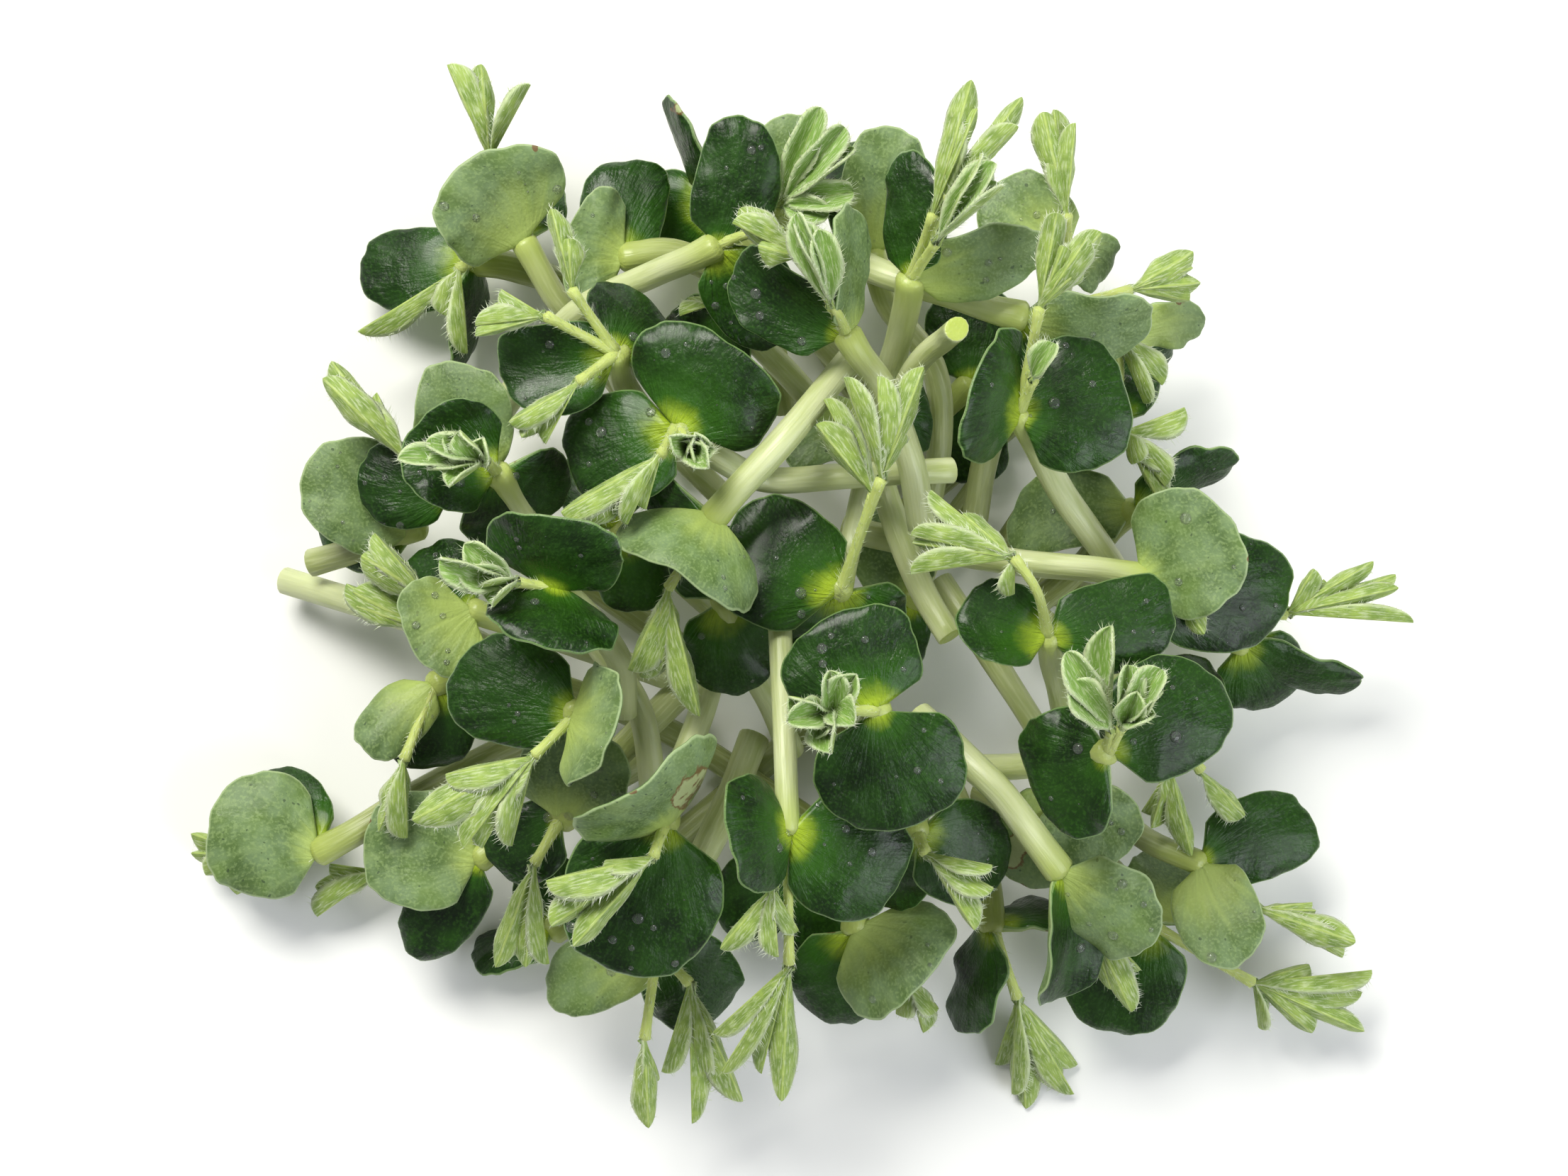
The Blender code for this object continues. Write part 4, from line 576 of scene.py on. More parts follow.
# A stem's solid: a closed square bar, thicker at the node.
def stemSolid(seedling):
    setup = solidSetup
    path, rows = curve(seedling, seedling["stem"], setup["stemStep"])
    near = np.exp(-((np.linalg.norm(path - path[0], axis=1) / stemSetup["nodeLength"]) ** 2))
    radii = seedling["radius"] * (1 + (stemSetup["nodeSwell"] - 1) * near)
    path = np.vstack([path[0] - unit(path[1] - path[0]) * setup["stemHead"], path])
    rows = np.vstack([rows[0], rows])
    count, sides = len(path), setup["stemSides"]
    radii = np.r_[radii[0] * setup["headShare"], radii]
    points = shoot(path, np.zeros(count), radii, sides, start=0.5, steep=1e-9)[0]
    faces = []
    for i in range(count - 1):
        for k in range(sides):
            a, b = i * sides + k, i * sides + (k + 1) % sides
            faces += [(a, b, b + sides), (a, b + sides, a + sides)]
    last = (count - 1) * sides
    faces += [(k + 1, k, 0) for k in range(1, sides - 1)]
    faces += [(last, last + k, last + k + 1) for k in range(1, sides - 1)]
    shares = np.zeros((count * sides, len(seedling["heights"])))
    shares[:, seedling["stem"]] = np.repeat(rows, sides, axis=0)
    return points.reshape(-1, 3), shares, faces


# A seed leaf's start, its ways along, across and up, half its width, and how far it bends and cups.
def bladeFrame(seedling, item):
    start = control(seedling, 0)
    along = control(seedling, item["index"]) - start
    side = unit(np.cross(along, (0.0, 0.0, 1.0)))
    normal = np.cross(side, unit(along))
    turn = math.radians(item["roll"])
    across = side * math.cos(turn) + normal * math.sin(turn)
    up = normal * math.cos(turn) - side * math.sin(turn)
    half = item["width"] / 2
    dome = np.linalg.norm(along) * math.tan(math.radians(item["bend"]) / 4) * (1 if item["roll"] < 90 else -1)
    return start, along, across, up, half, dome, half * math.tan(math.radians(item["cup"]) / 2)


# A thick bean-shaped blade: rim points and two on the midline of each face, joined round the rim.
def seedLeafSolid(seedling, item):
    setup = seedLeafSetup
    start, along, side, normal, half, dome, cup = bladeFrame(seedling, item)
    sides, inner = solidSetup["outlineSides"], solidSetup["midline"]
    turns = [2 * math.pi * (k + 0.5) / sides for k in range(sides)]
    spots = [(inner, 0.0), (inner, math.pi)] + [(1.0, turn) for turn in turns]
    points, shares = [], []
    for face in (1, -1):
        for ring, angle in spots:
            t = 0.5 - 0.5 * ring * math.cos(angle)
            foot = min(1.0, solidSetup["footWidth"] + solidSetup["footWiden"] * t)
            v = ring * math.sin(angle) * (1 + setup["bean"] * math.cos(2 * angle)) * foot
            middle = 4 * t * (1 - t)
            swing = 2 * math.pi * item["turns"] * t + item["phase"] + (setup["side"] if v > 0 else 0)
            off = dome * middle + cup * v * v + item["wave"] * v * v * math.sin(swing)
            thick = setup["thickness"] / 2 * (1 - setup["rimThin"] * ring**4)
            share = np.zeros(len(seedling["heights"]))
            share[[0, item["index"]]] = (1 - t) * (1 - 2 * t), t * (2 * t - 1)
            raised = np.array((v * (v - 1) / 2, 1 - v * v, v * (v + 1) / 2))
            share[item["lifts"]] = middle * raised
            point = start + along * t + side * (v * half + item["skew"] * middle)
            point += normal * (off + face * thick)
            point[2] += middle * np.dot(raised, seedling["heights"][item["lifts"]])
            points.append(point)
            shares.append(share)
    faces, count = [], len(spots)
    near = [0 if math.cos(turn) > 0 else 1 for turn in turns]
    for k in range(sides):
        m = (k + 1) % sides
        faces.append((near[k], 2 + m, 2 + k))
        if near[k] != near[m]:
            faces.append((near[k], near[m], 2 + m))
    faces += [tuple(i + count for i in face[::-1]) for face in faces]
    for k in range(sides):
        a, b = 2 + k, 2 + (k + 1) % sides
        faces += [(a, b, b + count), (a, b + count, a + count)]
    return np.array(points), np.array(shares), faces


# Turns the leaflets apart until each is far enough from its neighbours and from the stalk.
def spread(angles):
    angles = np.array(angles)
    last = len(angles) - 1
    for _ in range(60):
        for i in range(last):
            least = solidSetup["leastSpread"] * (solidSetup["heelSpread"] if i in (0, last - 1) else 1.0)
            short = max(0.0, least - (angles[i + 1] - angles[i])) / 2
            angles[i] -= short * (2 if i + 1 == last else 1)
            angles[i + 1] += short * (2 if i == 0 else 1)
            angles[0], angles[last] = 0.0, 2 * math.pi
    return angles


# A palmate leaf and its stalk in one piece, with folded leaflets spread round the hub.
def leafSolid(seedling, path, tips):
    setup = solidSetup
    hub, centre, station = path[-1], control(seedling, path[-1]), setup["station"]
    points, shares, faces = [], [], []

    def share(indices, parts):
        row = np.zeros(len(seedling["heights"]))
        for index, part in zip(indices, parts):
            row[index] += part
        return row

    def add(point, row):
        points.append(point)
        shares.append(row)
        return len(points) - 1

    def pair(point, row, thickness=leafletSetup["solidThickness"]):
        lift = np.array((0, 0, thickness / 2))
        return add(point + lift, row), add(point - lift, row)

    def around(angle, far, rise=0.0):
        return centre + np.array((math.cos(angle) * far, math.sin(angle) * far, rise))

    route, rows = curve(seedling, path[::-1], setup["stemStep"])
    back = math.atan2(*(route[1] - centre)[1::-1])
    reach = [control(seedling, item["index"]) - centre for item in tips]
    angles = [(math.atan2(ray[1], ray[0]) - back) % (2 * math.pi) for ray in reach]
    order = sorted(range(len(tips)), key=lambda i: angles[i])
    angles = spread([0.0] + [angles[i] for i in order] + [2 * math.pi])
    whole = share([hub], [1.0])
    middle = pair(centre, whole)
    outline = [pair(around(back + setup["heelTurn"], setup["heelReach"]), whole)]
    lefts = set()
    for i, number in enumerate(order, 1):
        item, ray = tips[number], reach[number]
        angle, far, fold = angles[i] + back, np.hypot(ray[0], ray[1]), math.radians(item["fold"])
        width, rise = item["width"] / 2 * math.cos(fold), item["width"] / 2 * math.sin(fold)
        crown = ray[2] * station + item["arch"] * far
        row = share((hub, item["index"]), (1 - station, station))
        edges = []
        for side, room in ((-1, angles[i] - angles[i - 1]), (1, angles[i + 1] - angles[i])):
            turn = min(math.atan2(width, far * station), setup["roomShare"] * room)
            edge = crown + rise * (1 + side * item["roll"] / 60)
            edges.append(pair(around(angle + side * turn, far * station / math.cos(turn), edge), row))
        rib = pair(around(angle, far * station, crown), row)
        tip = add(around(angle, far, ray[2]), share([item["index"]], [1.0]))
        for face in (0, 1):
            left, right = edges[0][face], edges[1][face]
            faces += [(middle[face], left, rib[face]), (rib[face], left, tip)]
            faces += [(middle[face], rib[face], right), (rib[face], tip, right)]
        faces += [(*edges[0], tip), (*edges[1], tip)]
        lefts.add(len(outline))
        outline += edges
        room = angles[i + 1] - angles[i]
        if i < len(order) or room > setup["wideRoom"]:
            for part in (0.5,) if room < setup["wideRoom"] else (0.25, 0.5, 0.75):
                outline.append(pair(around(angle + room * part, setup["hubReach"]), whole))
    outline.append(pair(around(back - setup["heelTurn"], setup["heelReach"]), whole))
    for a in range(len(outline) - 1):
        if a not in lefts:  # joins the hub to this stretch of the outline, above, below and round the rim
            first, second = outline[a : a + 2]
            faces += [(middle[face], first[face], second[face]) for face in (0, 1)]
            faces += [(*first, second[1]), (first[0], second[1], second[0])]
    right, left = outline[0], outline[-1]
    faces += [(middle[face], right[face], left[face]) for face in (0, 1)]
    for k in range(1, len(route)):
        ahead = route[k] - route[k - 1]
        aside = unit(np.array((ahead[1], -ahead[0], 0.0))) * leafletSetup["stalkRadius"] * setup["stalkHalf"]
        row = share(path[::-1], rows[k])
        thick = leafletSetup["stalkRadius"] * setup["stalkThick"]
        nextRight, nextLeft = pair(route[k] - aside, row, thick), pair(route[k] + aside, row, thick)
        ring, nextRing = (*right, *left[::-1]), (*nextRight, *nextLeft[::-1])
        for a in range(4):
            b = (a + 1) % 4
            faces += [(ring[a], ring[b], nextRing[b]), (ring[a], nextRing[b], nextRing[a])]
        right, left = nextRight, nextLeft
    faces += [(*right, left[1]), (right[0], left[1], left[0])]
    return np.array(points), np.array(shares), faces


# Every solid of one seedling: its points as seen, each point's share of the controls, its triangles.
def solids(seedling):
    blades = [seedLeafSolid(seedling, item) for item in seedling["seedLeaves"]]
    return [stemSolid(seedling), *blades, *(leafSolid(seedling, **item) for item in seedling["leaves"])]


heapSetup = dict(
    clearance=0.55,  # mm between two seedlings, one above the other
    floorPress=0.15,  # mm that the lowest of them would reach below the floor
    cell=1.25, overlap=0.35,  # the grid on which crossings are found
    tableHalf=200, tableCells=400,  # mm, and cells along y
    mostInCell=60, mostElements=1000,  # solids in one cell, and in all
    nearGap=30.0, nearFloor=7.0,  # what lies further apart, or higher, isn't watched
    hold=0.5, drop=0.8,  # how firmly a control stays, and how it sinks
    stemTie=0.6, bladeTie=0.5, tipTie=0.4, crownTie=3.0, edgeTie=1.0,  # how stiff each part is
    rounds=5, steps=14, ease=0.8, lastSteps=3,  # every step but the last ones goes only most of the way
    push=4.0, pushGrowth=1.5, mostPush=60.0,  # how hard a crossing is pushed apart
)


# Spots spread over the triangles: the three corners of each spot's triangle and their shares in it.
def sample(points, faces, spacing=1.0):
    corners, shares = [], []
    for face in faces:
        a, b, c = points[list(face)]
        longest = max(np.hypot(*(a - b)[:2]), np.hypot(*(b - c)[:2]), np.hypot(*(c - a)[:2]))
        pieces = max(1, math.ceil(longest / spacing))
        for i in range(pieces + 1):
            for j in range(pieces + 1 - i):
                corners.append(face)
                shares.append((i / pieces, j / pieces, (pieces - i - j) / pieces))
    return np.array(corners), np.array(shares)


# Spots of two seedlings that lie one above the other, found on a fine square grid: how much of each
# control is in them, whose they are, and how far apart in height.
def crossings(heap, width):
    setup = heapSetup
    gathered = [], [], [], [], [], []
    count = element = 0
    for number, seedling in enumerate(heap):
        for points, rows, faces in solids(seedling):
            ids, parts = sample(points, faces)
            values = points, np.pad(rows, ((0, 0), (0, width - rows.shape[1]))), ids + count, parts
            values += np.full(len(ids), number), np.full(len(ids), element)
            for found, value in zip(gathered, values):
                found.append(value)
            count += len(points)
            element += 1
    points, weights, corners, parts, owners, elements = map(np.concatenate, gathered)
    spots = np.einsum("ij,ijk->ik", parts, points[corners])
    keys, reach = [], setup["overlap"]
    for shift in ((0, 0), (reach, 0), (-reach, 0), (0, reach), (0, -reach)):
        cells = np.floor((spots[:, :2] + shift + setup["tableHalf"]) / setup["cell"]).astype(np.int64)
        keys.append((cells[:, 0] * setup["tableCells"] + cells[:, 1]) * setup["mostElements"] + elements)
    keys, seats = np.concatenate(keys), np.tile(np.arange(len(spots)), len(keys))
    order = np.lexsort((spots[seats, 2], keys))
    keys, seats = keys[order], seats[order]
    first = np.r_[True, keys[1:] != keys[:-1]]
    low, high, place = seats[first], seats[np.r_[first[1:], True]], keys[first] // setup["mostElements"]
    pairs = []
    for step in range(1, setup["mostInCell"]):
        same = np.nonzero(place[step:] == place[:-step])[0]
        pairs.append(np.stack([same, same + step], 1))
    pairs = np.vstack(pairs)
    pairs = pairs[owners[low[pairs[:, 0]]] != owners[low[pairs[:, 1]]]]
    middle = (spots[low, 2] + spots[high, 2]) / 2
    code = elements[low[pairs[:, 0]]].astype(np.int64) * element + elements[low[pairs[:, 1]]]
    inverse = np.unique(code, return_inverse=True)[1]
    swap = np.bincount(inverse, middle[pairs[:, 0]] - middle[pairs[:, 1]])[inverse] < 0
    pairs[swap] = pairs[swap][:, ::-1]
    upper, lower = low[pairs[:, 0]], high[pairs[:, 1]]
    near = spots[upper, 2] - spots[lower, 2] < setup["nearGap"]
    upper, lower, floor = upper[near], lower[near], low[spots[low, 2] < setup["nearFloor"]]
    found = upper, lower, floor
    shares = [np.einsum("ij,ijk->ik", parts[seats], weights[corners[seats]]) for seats in found]
    return shares, [owners[seats] for seats in found], spots[upper, 2] - spots[lower, 2], spots[floor, 2]


# Controls that would rather move together: their numbers, how each counts, and how strongly they are tied.
def ties(seedling):
    setup = heapSetup
    found = [(pair, (1, -1), setup["stemTie"]) for pair in zip(seedling["stem"], seedling["stem"][1:])]
    found += [((0, item["index"]), (1, -1), setup["bladeTie"]) for item in seedling["seedLeaves"]]
    for item in seedling["leaves"]:
        found += [(pair, (1, -1), setup["bladeTie"]) for pair in zip(item["path"], item["path"][1:])]
        found += [((item["path"][-1], tip["index"]), (1, -1), setup["tipTie"]) for tip in item["tips"]]
    for item in seedling["seedLeaves"]:
        left, crown, right = [((0, item["index"], lifted), (-0.5, -0.5, 1.0)) for lifted in item["lifts"]]
        found += [(*crown, setup["crownTie"]), (*left, setup["edgeTie"]), (*right, setup["edgeTie"])]
    return found


# Finds the least changes of the heights that keep every crossing clear and nothing below the floor.
def settle(heap):
    setup = heapSetup
    width = max(len(seedling["heights"]) for seedling in heap)
    size = width * len(heap)
    base = np.eye(size) * setup["hold"]
    for i, seedling in enumerate(heap):
        for controls, lever, strength in ties(seedling):
            at = np.array(controls) + i * width
            base[np.ix_(at, at)] += strength * np.outer(lever, lever)
    for number in range(setup["rounds"]):
        (upper, lower, floor), (above, below, owner), gap, floorGap = crossings(heap, width)
        groups = above * setup["mostElements"] + below
        order = np.argsort(groups, kind="stable")
        groups = np.split(order, np.nonzero(np.diff(groups[order]))[0] + 1)
        move, push = np.zeros(size), setup["push"]
        table = move.reshape(len(heap), width)
        for step in range(setup["steps"]):
            matrix, target = base.copy(), np.full(size, -setup["hold"] * setup["drop"])
            clear = gap + np.einsum("ij,ij->i", upper, table[above])
            clear = clear - np.einsum("ij,ij->i", lower, table[below])
            height = floorGap + np.einsum("ij,ij->i", floor, table[owner])
            pressed = []
            for rows in groups:
                rows = rows[clear[rows] < setup["clearance"]]
                if len(rows):
                    a, b = above[rows[0]] * width, below[rows[0]] * width
                    lever = np.hstack([upper[rows], -lower[rows]])
                    seats = np.r_[a : a + width, b : b + width]
                    pressed.append((seats, lever, setup["clearance"] - gap[rows]))
            for i in np.unique(owner[height < 0]):
                rows = np.nonzero((owner == i) & (height < 0))[0]
                pressed.append((i * width + np.arange(width), floor[rows], -floorGap[rows]))
            for seats, lever, short in pressed:
                matrix[np.ix_(seats, seats)] += push * lever.T @ lever
                target[seats] += push * lever.T @ short
            ease = setup["ease"] if step < setup["steps"] - setup["lastSteps"] else 1.0
            move += (np.linalg.solve(matrix, target) - move) * ease
            push = min(push * setup["pushGrowth"], setup["mostPush"])
        print("settling", number + 1, "least gap", round(float(clear.min()), 2), "mm")
        for seedling, change in zip(heap, table):
            for item in seedling["seedLeaves"]:
                change[item["lifts"]] -= (change[0] + change[item["index"]]) / 2
            seedling["heights"] += change[: len(seedling["heights"])]


# The growing surfaces: closed shells gathered for one seedling, with what its skins and hairs read.
# place and rays are spots on the surface in mm, look is (towards the rim, face or reach, tone),
# lean and flare lead the hairs, furry and fringe say how many grow there.
skins = ["stem", "upper", "under", "stalk", "leaflet"]
fields = dict(place=3, look=3, rays=3, lean=3, flare=3, furry=1, fringe=1)


def addPoints(shell, points, **values):
    first = sum(len(rows) for rows in shell["points"])
    points = np.asarray(points, float).reshape(-1, 3)
    shell["points"].append(points)
    for name, size in fields.items():
        value = np.asarray(values.get(name, np.zeros(size)), float)
        if value.ndim > 1:
            value = value.reshape(-1, size)
        shell[name].append(np.broadcast_to(value, (len(points), size)).copy())
    return first


def addFaces(shell, faces, skin):
    shell["faces"] += faces
    shell["skins"] += [skins.index(skin)] * len(faces)


# Skins a stack of rings with quads and closes both ends on a middle point.
def addRings(shell, count, sides, first, ends, skin):
    faces = []
    for i in range(count - 1):
        for k in range(sides):
            a, b = first + i * sides + k, first + i * sides + (k + 1) % sides
            faces.append((a, b, b + sides, a + sides))
    last = first + (count - 1) * sides
    faces += [(ends, first + (k + 1) % sides, first + k) for k in range(sides)]
    faces += [(ends + 1, last + k, last + (k + 1) % sides) for k in range(sides)]
    addFaces(shell, faces, skin)


# How far along a path each of its points lies.
def run(path):
    return np.r_[0, np.cumsum(np.linalg.norm(np.diff(path, axis=0), axis=1))]


# A stem: swollen at the node, a little uneven, with a clean cut at its foot.
def growStem(shell, seedling, draw):
    setup = stemSetup
    path = curve(seedling, seedling["stem"], setup["step"])[0]
    away, end, far = unit(path[0] - path[1]), unit(path[-1] - path[-2]), run(path)
    slow = draw.uniform(*setup["slow"], setup["stretches"])
    slow = np.interp(far, np.linspace(0, far[-1], setup["stretches"]), slow)
    swell = (setup["swell"] - 1) * np.exp(-((far / setup["nodeLength"]) ** 2))
    radii = seedling["radius"] * slow * (1 + swell)
    dome, foot = np.array(setup["dome"]), np.array(setup["cut"])
    path = np.vstack([path[0] + away * dome[:, :1], path, path[-1] + end * foot[:, :1]])
    radii = np.r_[radii[0] * dome[:, 1], radii, radii[-1] * foot[:, 1]]
    far = np.r_[-dome[:, 0], far, far[-1] + foot[:, 0]]
    turn = 2 * math.pi * np.arange(setup["sides"]) / setup["sides"]
    phase = draw.uniform(0, 2 * math.pi, 2)
    uneven = 1 + setup["uneven"] * (np.cos(2 * turn + phase[0]) + 0.5 * np.cos(3 * turn + phase[1]))
    points, place, tangents = shoot(path, far, radii, setup["sides"], uneven)
    # Painted shade: the lower a stem lies in the heap, the more olive it is coloured, plus a random part
    tone = setup["shadeAtFloor"] - np.median(path[:, 2]) / setup["shadeFadeHeight"]
    tone = tone + draw.uniform(-setup["differ"], setup["differ"])
    tone = float(np.clip(tone, 0, 1))
    look = np.zeros(points.shape)
    look[:, :, 0] = far[:, None]
    look[-3:, :, 1] = np.array([0.5, 1.0, 1.0])[:, None]
    look[:, :, 2] = tone
    place[:, :, 0] += tone * toneStep
    first = addPoints(shell, points, place=place, look=look)
    ends = addPoints(
        shell, [path[0] + away * setup["topRise"], path[-1] - end * setup["cutSink"]],
        place=[(place[0, 0, 0], 0, 0), (place[-1, 0, 0], 0, 0)], look=[(far[0], 0, tone), (far[-1], 1, tone)],
    )
    addRings(shell, len(path), setup["sides"], first, ends, "stem")


# A seed leaf: a thick bean-shaped blade with a rounded rim, the same surface that its solid is cut from.
def growSeedLeaf(shell, seedling, item, draw):
    setup = seedLeafSetup
    start, along, side, normal, half, dome, cup = bladeFrame(seedling, item)
    length, lifts, sides = np.linalg.norm(along), seedling["heights"][item["lifts"]], setup["sides"]
    angle = 2 * math.pi * np.arange(sides) / sides
    phases = draw.uniform(0, 2 * math.pi, 6)
    tone, patch = draw.uniform(0, 1), draw.uniform(*setup["patch"])
    # waves round the rim: three and five broad ones, eleven and seventeen small ones
    bay = setup["bays"] * (np.sin(3 * angle + phases[4]) + 0.7 * np.sin(5 * angle + phases[5]))
    bay += setup["scallop"] * (np.sin(11 * angle + phases[0]) + 0.7 * np.sin(17 * angle + phases[1]))
    bay = 1 + bay * (0.5 - 0.5 * np.cos(angle))
    ring = np.r_[0.0, setup["rings"]][:, None]
    t = 0.5 - 0.5 * ring * np.cos(angle) * (1 + (bay - 1) * ring**2)
    foot = np.minimum(1.0, setup["footWidth"] + setup["footWiden"] * np.maximum(t, 0))
    v = ring * np.sin(angle) * bay * (1 + setup["bean"] * np.cos(2 * angle)) * foot
    middle = 4 * t * (1 - t)
    swing = 2 * math.pi * item["turns"] * t + item["phase"] + np.where(v > 0, setup["side"], 0.0)
    ruffle = setup["ruffle"] * ring**5 * np.sin(7 * angle + phases[2])
    ruffle = ruffle + setup["crimp"] * ring**4 * np.sin(13 * angle + phases[3])
    off = dome * middle + cup * v * v + item["wave"] * v * v * np.sin(swing)
    off = off + ruffle * np.sqrt(np.clip(t * 3, 0, 1))
    thick = setup["thickness"] / 2 * (1 - setup["rimThin"] * ring**4) * np.sqrt(np.clip(1 - ring**12, 0, 1))
    thick = thick * (1 + setup["footThick"] * np.exp(-((t / setup["footReach"]) ** 2)))
    base = start + along * t[..., None] + side * (v * half + item["skew"] * middle)[..., None]
    raised = v * (v - 1) / 2 * lifts[0] + (1 - v * v) * lifts[1] + v * (v + 1) / 2 * lifts[2]
    base[..., 2] += middle * raised
    still, far = np.full_like(t, tone * toneStep), np.hypot(t * length, v * half)
    carried = dict(
        place=np.stack([t * length, v * half, still], 2),
        rays=np.stack([np.arctan2(v * half, t * length + setup["ribStart"]), far, still], 2),
        look=np.stack([np.broadcast_to(ring, t.shape), far / patch, np.full_like(t, tone)], 2),
    )
    rim = None
    for face, skin in ((1, "upper"), (-1, "under")):
        points = base + normal * (off + face * thick)[..., None]
        last = len(ring) if rim is None else len(ring) - 1  # both faces share the rim
        centre = addPoints(shell, points[:1, 0], **{name: value[:1, 0] for name, value in carried.items()})
        first = addPoints(shell, points[1:last], **{name: value[1:last] for name, value in carried.items()})
        rim = first + (len(ring) - 2) * sides if rim is None else rim
        rows = [first + i * sides for i in range(len(ring) - 2)] + [rim]
        faces = [(centre, rows[0] + k, rows[0] + (k + 1) % sides) for k in range(sides)]
        for near, beyond in zip(rows[:-1], rows[1:]):
            for k in range(sides):
                m = (k + 1) % sides
                faces.append((near + k, beyond + k, beyond + m, near + m))
        # a turn from along to side runs clockwise as the upper face is seen
        addFaces(shell, [f[::-1] if face == 1 else f for f in faces], skin)


# A leaf: its downy stalk and the leaflets at its end, folded along their midribs.
def growLeaf(shell, seedling, item, draw):
    setup = leafletSetup
    path = curve(seedling, item["path"], setup["stalkStep"])[0]
    far = run(path)
    share = far / far[-1]
    flared = 0.8 + setup["nodeFlare"] * np.exp(-far / setup["nodeReach"])
    flared = flared + setup["hubFlare"] * np.exp(-((share - 1) / setup["hubReach"]) ** 2)
    radii = setup["stalkRadius"] * flared
    points, place, tangents = shoot(path, far, radii, setup["stalkSides"])
    tone = draw.uniform(0, 1)
    place[:, :, 0] += tone * toneStep
    lean, look = np.repeat(tangents[:, None], setup["stalkSides"], 1), (0, 0, tone)
    first = addPoints(shell, points, place=place, look=look, lean=lean, furry=setup["stalkDown"])
    tips = [path[0] - tangents[0] * setup["stalkSunk"], path[-1] + tangents[-1] * setup["stalkPast"]]
    ends = addPoints(shell, tips, place=[place[0, 0], place[-1, 0]], look=look, lean=tangents[-1])
    addRings(shell, len(path), setup["stalkSides"], first, ends, "stalk")
    reach = [control(seedling, tip["index"]) - path[-1] for tip in item["tips"]]
    centre = unit(np.mean([unit(ray) for ray in reach], axis=0) + setup["heading"] * tangents[-1])
    for tip, ray in zip(item["tips"], reach):
        growLeaflet(shell, path[-1], ray, tip, centre, tone, draw)


# A leaflet: two flat halves that meet in a raised midrib, narrow at the foot, widest past the middle.
def growLeaflet(shell, hub, ray, tip, centre, tone, draw):
    setup = leafletSetup
    far = np.linalg.norm(ray)
    u = np.sin(np.linspace(0, math.pi / 2, setup["steps"]))
    curl, twist = draw.uniform(*setup["curl"]) * far, draw.uniform(*setup["twist"])
    ripple = draw.uniform(0, 6.3, 2)
    lift = tip["arch"] * far * 4 * u * (1 - u) + curl * np.sin(math.pi * u) * u
    path = hub + ray * u[:, None] + np.array((0, 0, 1.0)) * lift[:, None]
    # The fold opens towards the middle of the tuft, and a tuft that lies down shows its keels
    upright = centre[2] > setup["upright"]
    opening = setup["inward"] * centre + np.array((0, 0, setup["lift"] if upright else setup["droop"]))
    opening = unit(opening - ray * np.dot(opening, ray) / far**2)
    turn = math.radians(tip["roll"])
    opening = opening * math.cos(turn) + unit(np.cross(ray, opening)) * math.sin(turn)
    half = tip["width"] * setup["halfWidth"] * (setup["standWiden"] if upright else 1.0)
    widening, closing, greatest = setup["outline"]
    shape = u**widening * (1 - u) ** closing / greatest
    width = np.maximum(half * shape, setup["footWidth"] * (1 - u) ** 0.5)
    fold = math.radians(setup["shutFold"] if upright else 90 - setup["flatten"] * tip["fold"])
    s = np.array(setup["across"])
    bend = fold * (setup["bowl"][0] - setup["bowl"][1] * (s[:-1] + s[1:]) / 2)
    out = np.r_[0, np.cumsum(np.sin(bend) * np.diff(s))]
    rise = np.r_[0, np.cumsum(np.cos(bend) * np.diff(s))]
    steps = len(s) - 1
    outer = [(1, -1, k) for k in range(steps, 0, -1)] + [(1, 1, k) for k in range(steps + 1)]
    inner = [(-1, 1, k) for k in range(steps - 1, -1, -1)] + [(-1, -1, k) for k in range(1, steps)]
    carried = dict(place=[], look=[], lean=[], flare=[], furry=[], fringe=[])
    points = []
    for i in range(len(u) - 1):
        tangent = unit(path[i + 1] - path[max(i - 1, 0)])
        up = unit(opening - tangent * np.dot(opening, tangent))
        angle = twist * (u[i] - 0.5)
        up = up * math.cos(angle) + np.cross(tangent, up) * math.sin(angle)
        aside = np.cross(tangent, up)
        thick = setup["thickness"] * (1 + setup["footThick"] * math.exp(-u[i] * setup["footFade"]))
        for face, hand, k in outer + inner:
            swing = math.sin(setup["waves"] * u[i] + ripple[max(hand, 0)])
            wave = setup["ripple"] * half * s[k] ** 2 * swing * shape[i]
            spot = path[i] + width[i] * (aside * hand * out[k] + up * rise[k]) + aside * wave
            slope, margin = bend[max(k - 1, 0)], k == steps
            if k == 0:
                spot = spot + up * (thick * setup["keel"] if face < 0 else -setup["midrib"] * (1.2 - u[i]))
            elif face < 0:
                spot = spot + thick * unit(up * math.sin(slope) - aside * hand * math.cos(slope))
            points.append(spot)
            values = (
                (u[i] * far + tone * toneStep, hand * s[k] * width[i], 0),
                (s[k], 0 if margin else face, tone),
                tangent,
                (up * math.cos(bend[-1]) + aside * hand * math.sin(bend[-1])) * margin,
                [1.0 if face > 0 else setup["innerDown"]],
                [float(margin)],
            )
            for rows, value in zip(carried.values(), values):
                rows.append(value)
    first = addPoints(shell, points, **carried)
    ends = addPoints(
        shell, [hub - unit(ray) * 0.2, path[-1]], place=[carried["place"][0], carried["place"][-1]],
        look=[(0, 1, tone), (1, 1, tone)], lean=tangent,
    )
    addRings(shell, len(u) - 1, len(outer) + len(inner), first, ends, "leaflet")


# Turns the faces from one number on outwards: a closed form has a positive volume.
def turnOutward(shell, since):
    points = np.vstack(shell["points"])
    volume = 0.0
    for face in shell["faces"][since:]:
        for b, c in zip(face[1:-1], face[2:]):
            volume += np.dot(points[face[0]], np.cross(points[b], points[c]))
    if volume < 0:
        shell["faces"][since:] = [face[::-1] for face in shell["faces"][since:]]


